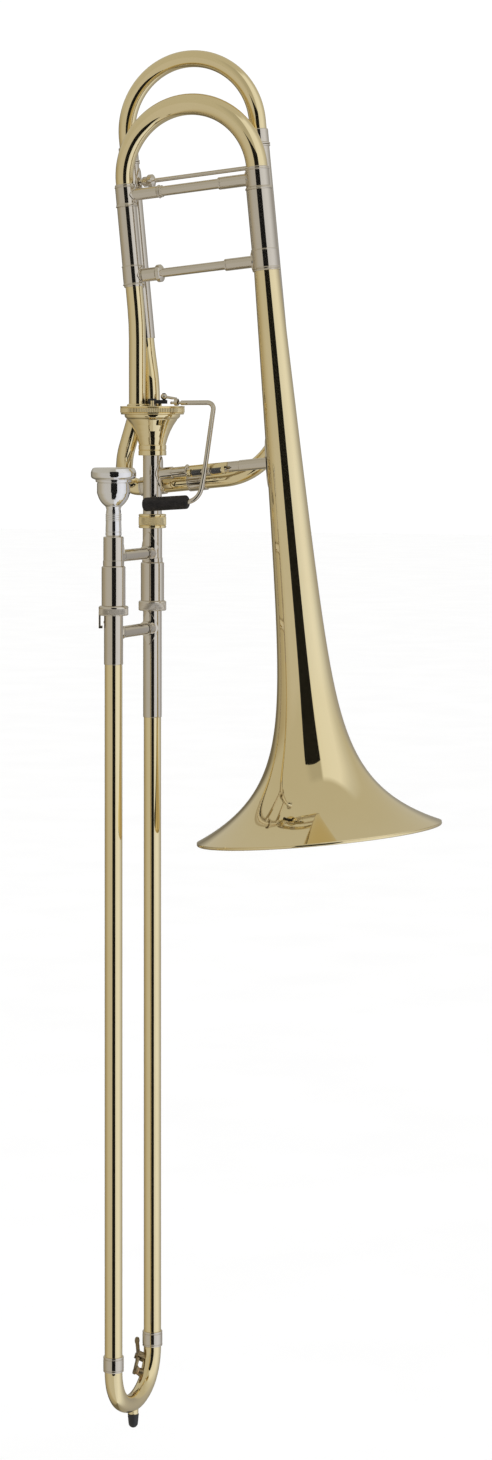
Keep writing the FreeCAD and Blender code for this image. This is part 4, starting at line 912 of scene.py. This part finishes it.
def f_slide():
    level = F_CROOK_LEVEL
    socket = level - FERRULE_SOCKET
    radius = (F_RIGHT - F_LEFT) / 2
    straight = FERRULE_SOCKET + F_CROOK_STRAIGHT
    route = walked(leg_place(F_LEFT, socket, F_BACK), [(straight,), (radius, 180), (straight,)])
    piece("f_crook", piped(route, 2 * F_TUBE, 2 * F_TUBE - 1, 96))
    ferrules, legs = [], []
    for across in (F_LEFT, F_RIGHT):
        where = leg_place(across, 0, F_BACK)
        legs.append(turned(ring_outline(7.05, 6.7, 20, socket), where, edge=0.1))
        ferrules.append(turned([
            (7.05, SLEEVE_END + 0.15), (F_TUBE + 1.4, SLEEVE_END + 0.15),
            (F_TUBE + 1.7, SLEEVE_END + 0.4, 0.7), (F_TUBE + 1.7, SLEEVE_END + 1.4),
            (F_TUBE + 1.1, SLEEVE_END + 1.9), (F_TUBE + 1.1, level - 0.6), (F_TUBE + 0.6, level),
            (F_TUBE, level), (F_TUBE, socket), (7.05, socket),
        ], where, edge=0.12))
    piece("f_ferrules", *ferrules)
    piece("f_legs", *legs)


# ------------------------------------------------------------ bell

FLARE_HEIGHT = 84.15
FLARE_SPAN = 343
FLARE_POWER = 9.14
THROAT = 23.8
THROAT_TAPER = 0.0254
BELL_FOOT = 487.5
BELL_LENGTH = BELL_FOOT + 18.3
BELL_WALL = 0.6
RIM_WIRE = 1.35
RIM_WIRE_DROP = 1.55
RIM = middle("bell_rim_wire") + LEG_UP * RIM_WIRE_DROP
BELL_SIDES = 320


def bell_radius(distance):
    """The bell's outer radius at a distance up its axis from the rim."""
    flare = FLARE_HEIGHT * (FLARE_SPAN / (distance + FLARE_SPAN)) ** FLARE_POWER
    return flare + THROAT - THROAT_TAPER * distance


def bell_slope(distance):
    return (bell_radius(distance + 0.01) - bell_radius(distance - 0.01)) / 0.02


def bell():
    outer, inner = [], []
    count = 120
    for index in range(count + 1):
        distance = BELL_LENGTH * (index / count) ** 2.0
        radius, slope = bell_radius(distance), bell_slope(distance)
        square = Vector((1, -slope)).normalized() * BELL_WALL
        outer.append(Vector((radius, distance)))
        inner.append(Vector((radius - square.x, distance - square.y)))
    where = place(RIM, LEG_UP, CROSS)
    rings = []
    for point in outer + inner[::-1]:
        ring = []
        for index in range(BELL_SIDES):
            angle = 2 * math.pi * index / BELL_SIDES
            ring.append(where @ Vector((point.x * math.cos(angle), point.x * math.sin(angle), point.y)))
        rings.append(ring)
    piece("bell", Shell().grid(rings, closed=True))
    wire_radius = bell_radius(0) - 1.3
    wire = [(wire_radius, -RIM_WIRE, RIM_WIRE), (wire_radius, RIM_WIRE, RIM_WIRE)]
    rim = turned(wire, place(middle("bell_rim_wire"), LEG_UP, CROSS), BELL_SIDES)
    piece("bell_rim_wire", rim)


BRACE_UP = -161.1
NECK = 8.45


def bell_brace():
    reach = LEG_GAP - 1.0
    throat = bell_radius(BELL_FOOT + BRACE_UP)
    start = leg_point(1.0, BRACE_UP)
    outline = [
        (0, 0), (5.4, 0), (5.4, 20), (4.65, 20.2), (4.65, 33), (5.5, 33.4, 1), (5.5, 35.2),
        (4.65, 35.6), (4.65, reach - 42.2), (5, reach - 42), (5, reach), (0, reach),
    ]
    lean = CROSS.dot(FAR - start) / CROSS.x
    bar = turned(outline, place(start, CROSS, LEG_UP), 96, 0.15, saddle=(reach, NECK + lean, throat))
    neck_plate = flange(place(far_point(0, 0, start.z + 0.9), UP, CROSS), NECK, 30, 15)
    bell_plate = flange(place(leg_point(LEG_GAP, BRACE_UP), LEG_UP, -CROSS), throat, 44, 16)
    for index, point in enumerate(bell_plate.points):
        up = (point - leg_point(LEG_GAP, BRACE_UP)).dot(LEG_UP)
        axis = leg_point(LEG_GAP, BRACE_UP + up)
        out = point - axis
        bell_plate.points[index] = axis + out * (1 + bell_slope(BELL_FOOT + BRACE_UP) * up / throat)
    piece("bell_brace", bar, neck_plate, bell_plate)


# ------------------------------------------------------------ lever

HINGE = Vector(JOINTS["thumb_lever"]["pos_m"]) / MM
HALF_BRACKET = 17.8
WIRE = 4.3
PIN = 2.4
KNOB = 1.35


def lever():
    lower = far_point(53, -21, 46.8)
    grip_end = far_point(3, -22, 43.6)
    route = [(far_point(25.6, 5.6, 134), 0), (far_point(57.3, 5.6, 134.2), 6.5),
             (far_point(55.9, -14.5, 72.7), 60), (lower, 14), (grip_end, 0)]
    wire = piped(cornered(route), WIRE, 0, 48)
    knuckle = turned([(1.58, -3.8), (3.5, -3.8), (3.5, 3.8), (1.58, 3.8)], place(HINGE, CROSS, UP), 64, 0.3)
    tip = far_point(16.2, 5.6, 134)
    pin = turned([(0, 0), (PIN / 2, 0), (PIN / 2, 9.2), (WIRE / 2, 9.8), (WIRE / 2, 10.4), (0, 10.4)],
                 place(tip, ALONG_X, UP), 48, 0.1)
    piece("lever_wire", wire, knuckle, pin, ball(tip, KNOB))
    way = (lower - grip_end).normalized()
    radius, length, corner = 6.15, 42.5, 2.6
    outline = [(0, 0), (radius - corner, 0, corner), (radius, corner), (radius, length - corner, corner),
               (radius - corner, length), (0, length)]
    piece("thumb_paddle", turned(outline, place(far_point(0.7, -22, 43.5), way, UP), 96))


def springs():
    """Two coils of dark wire on the hinge rod, one each side of the lever's knuckle."""
    coils = []
    wire, mean, turns = 0.85, 2.25, 10
    for start in (-HALF_BRACKET + 3.4 + wire / 2, 4.6 + wire / 2):
        length = HALF_BRACKET - 8.4 - wire
        frame_here = place(HINGE + CROSS * start, CROSS, UP)
        spot = frame_here.to_3x3()
        stations = []
        count = turns * 24
        for index in range(count + 1):
            angle = 2 * math.pi * turns * index / count
            offset = Vector((mean * math.cos(angle), mean * math.sin(angle), length * index / count))
            ahead = Vector((-mean * math.sin(angle), mean * math.cos(angle), length / (2 * math.pi * turns)))
            stations.append((frame_here @ offset, (spot @ ahead).normalized()))
        coils.append(piped(stations, wire, 0, 12))
    piece("lever_springs", *coils)


KEPT_EDGE = 0.00018


def dress_kept_nodes(nodes):
    """The carried-over CAD nodes: softened edges and the same materials as the rest."""
    for node in nodes:
        item = frame["nodes"][node]
        for slot in item.material_slots:
            slot.material = FINISHES[SLOT_OF[node]]
        weld = item.modifiers.new("weld", "WELD")
        weld.merge_threshold = 1e-6
        soft = item.modifiers.new("edges", "BEVEL")
        soft.width = KEPT_EDGE
        soft.segments = 3
        soft.limit_method = "ANGLE"
        soft.angle_limit = math.radians(40)
        soft.harden_normals = True


KEPT = ["slide_bumpers", "leadpipe", "lock_stud", "water_key_seat", "water_key_lever", "water_key_cork",
        "valve_plate", "hinge_bracket", "hinge_rod", "valve_rotor", "rotor_crank", "valve_link"]


# ------------------------------------------------------------ studio

VIEW_TURN = math.radians(21.0)
RIGHT = Vector((math.cos(VIEW_TURN), math.sin(VIEW_TURN), 0))
AHEAD = Vector((-math.sin(VIEW_TURN), math.cos(VIEW_TURN), 0))
LENS = 82.7
SENSOR = 36
SHIFT = -0.2149
CAMERA_ASIDE = 0.0837
CAMERA_AWAY = 3.0
CAMERA_LEVEL = 0.122


def camera():
    data = bpy.data.cameras.new("camera")
    data.lens = LENS
    data.sensor_width = SENSOR
    data.shift_y = SHIFT
    data.clip_end = 100
    item = bpy.data.objects.new("camera", data)
    spot = FAR * MM + RIGHT * CAMERA_ASIDE - AHEAD * CAMERA_AWAY
    spot.z = CAMERA_LEVEL
    item.location = spot
    item.rotation_mode = "QUATERNION"
    item.rotation_quaternion = AHEAD.to_track_quat("-Z", "Y")
    bpy.context.scene.collection.objects.link(item)
    bpy.context.scene.camera = item


def sheet_mesh(name, corners, faces, material):
    mesh = bpy.data.meshes.new(name)
    mesh.from_pydata(corners, [], faces)
    mesh.materials.append(material)
    item = bpy.data.objects.new(name, mesh)
    bpy.context.scene.collection.objects.link(item)
    return item


def plain(name, tint, roughness):
    material, tree, shader, where = new_material(name)
    pale = tuple(min(channel * 1.02, 1) for channel in tint)
    tree.links.new(blend_colours(tree, noise(tree, where, 3), tint, pale), shader.inputs["Base Color"])
    shader.inputs["Roughness"].default_value = roughness
    return material


SLIDE_TRAVEL = JOINTS["hand_slide"]["range_m"][1]
FLOOR_DROP = 0.08
FLOOR_SIZE = 40
CARD_AWAY = 0.891
CARD = [(-1.02, -0.27, 0.36), (-0.25, -0.20, 0.41), (0.1, -0.27, 0.45), (0.68, -0.29, 0.45)]


def studio():
    """A pale floor, a tall dark card before the object that only reflections see, and a soft tent.

    The floor lies under the slide's foot when the slide is drawn all the way out.
    """
    level = CAD_BOX[0].z - SLIDE_TRAVEL - FLOOR_DROP
    size = FLOOR_SIZE
    corners = [(-size, -size, level), (size, -size, level), (size, size, level), (-size, size, level)]
    paint = plain("floor_paint", (0.97, 0.97, 0.97), 0.9)
    floor = sheet_mesh("floor", corners, [(0, 1, 2, 3)], paint)
    floor.visible_glossy = False
    corners = []
    for level, left, right in CARD:
        middle_line = UP * level - AHEAD * CARD_AWAY
        corners += [RIGHT * left + middle_line, RIGHT * right + middle_line]
    faces = [(2 * step, 2 * step + 1, 2 * step + 3, 2 * step + 2) for step in range(len(CARD) - 1)]
    card = sheet_mesh("dark_card", corners, faces, plain("card_cloth", (0.004, 0.004, 0.004), 1))
    card.visible_camera = False
    card.visible_diffuse = False
    card.visible_shadow = False
    tent()


TENT = [
    (-180, (0.34, 0.32, 0.27)), (-168, (0.17, 0.15, 0.11)), (-146, (0.17, 0.15, 0.11)),
    (-132, (0.36, 0.33, 0.26)), (-99, (0.45, 0.40, 0.30)), (-82, (0.53, 0.495, 0.42)),
    (-60, (0.57, 0.55, 0.51)), (6, (0.57, 0.555, 0.52)), (7, (0.72, 0.735, 0.77)),
    (40, (0.80, 0.82, 0.88)), (64, (0.88, 0.90, 0.97)), (82, (0.83, 0.855, 0.92)),
    (104, (0.64, 0.66, 0.71)), (122, (0.48, 0.475, 0.49)), (150, (0.36, 0.35, 0.34)),
    (180, (0.34, 0.32, 0.27)),
]
HIGH_WALL = (0.53, 0.51, 0.45)
HIGH_TENT = [
    (-180, HIGH_WALL), (-30, HIGH_WALL), (-12, (0.45, 0.435, 0.38)), (16, (0.45, 0.435, 0.38)),
    (22, (0.80, 0.805, 0.80)), (40, (0.82, 0.83, 0.84)),
    (75, (0.84, 0.85, 0.87)), (104, (0.62, 0.62, 0.61)), (125, HIGH_WALL), (180, HIGH_WALL),
]


def tent():
    """The tent round the stage: what polished metal reflects, by the angle from the camera."""
    world = bpy.data.worlds.new("tent")
    bpy.context.scene.world = world
    world.use_nodes = True
    tree = world.node_tree
    tree.nodes.clear()
    link = tree.links.new

    def maths(operation, first, second=None):
        node = tree.nodes.new("ShaderNodeMath")
        node.operation = operation
        for socket, value in zip(node.inputs, (first, second)):
            if value is None:
                continue
            if isinstance(value, (int, float)):
                socket.default_value = value
            else:
                link(value, socket)
        return node.outputs["Value"]

    def along(vector, way):
        node = tree.nodes.new("ShaderNodeVectorMath")
        node.operation = "DOT_PRODUCT"
        link(vector, node.inputs[0])
        node.inputs[1].default_value = way
        return node.outputs["Value"]

    def glow(colour, strength=1.0):
        node = tree.nodes.new("ShaderNodeBackground")
        node.inputs["Strength"].default_value = strength
        if isinstance(colour, tuple):
            node.inputs["Color"].default_value = (*colour, 1)
        else:
            link(colour, node.inputs["Color"])
        return node.outputs["Background"]

    def mixed(factor, first, second):
        node = tree.nodes.new("ShaderNodeMixShader")
        link(factor, node.inputs["Fac"])
        link(first, node.inputs[1])
        link(second, node.inputs[2])
        return node.outputs["Shader"]

    def between(rise, first, second):
        """From 0 to 1 between two heights above the horizon, in degrees."""
        node = tree.nodes.new("ShaderNodeMapRange")
        node.inputs["From Min"].default_value = math.sin(math.radians(first))
        node.inputs["From Max"].default_value = math.sin(math.radians(second))
        link(rise, node.inputs["Value"])
        return node.outputs["Result"]

    way = tree.nodes.new("ShaderNodeTexCoord").outputs["Generated"]
    turn = maths("ARCTAN2", along(way, RIGHT), along(way, -AHEAD))
    share = maths("MULTIPLY_ADD", turn, 1 / (2 * math.pi))
    share.node.inputs[2].default_value = 0.5

    def ring(stops):
        ramp = tree.nodes.new("ShaderNodeValToRGB")
        elements = ramp.color_ramp.elements
        while len(elements) < len(stops):
            elements.new(0.5)
        for element, (degrees, colour) in zip(elements, stops):
            element.position = degrees / 360 + 0.5
            element.color = (*colour, 1)
        link(share, ramp.inputs["Fac"])
        return glow(ramp.outputs["Color"])

    rise = along(way, UP)
    walls = mixed(between(rise, 7, 16), ring(TENT), ring(HIGH_TENT))
    walls = mixed(between(rise, 58, 64), walls, glow(HIGH_WALL))
    path = tree.nodes.new("ShaderNodeLightPath")
    seen = mixed(path.outputs["Is Glossy Ray"], glow((1, 1, 1), 1.04), walls)
    output = tree.nodes.new("ShaderNodeOutputWorld")
    link(seen, output.inputs["Surface"])


def tone():
    scene = bpy.context.scene
    scene.view_settings.view_transform = "Standard"
    scene.view_settings.look = "None"


inner_slide()
receivers()
slide_brace("upper_brace", 0, 5.3, MOUTH_RECEIVER, BELL_RECEIVER, 25, 27)
outer_slide()
slide_brace("lower_brace", -67, 0, OVERSLEEVE, OVERSLEEVE, 22, 30)
bow_fittings()
lock_ring()
mouthpiece()
lock_nut()
valve()
gooseneck()
f_tubing()
f_brace()
tuning_slide()
leg_braces()
f_slide()
bell()
bell_brace()
lever()
springs()
dress_kept_nodes(KEPT)
camera()
studio()
tone()
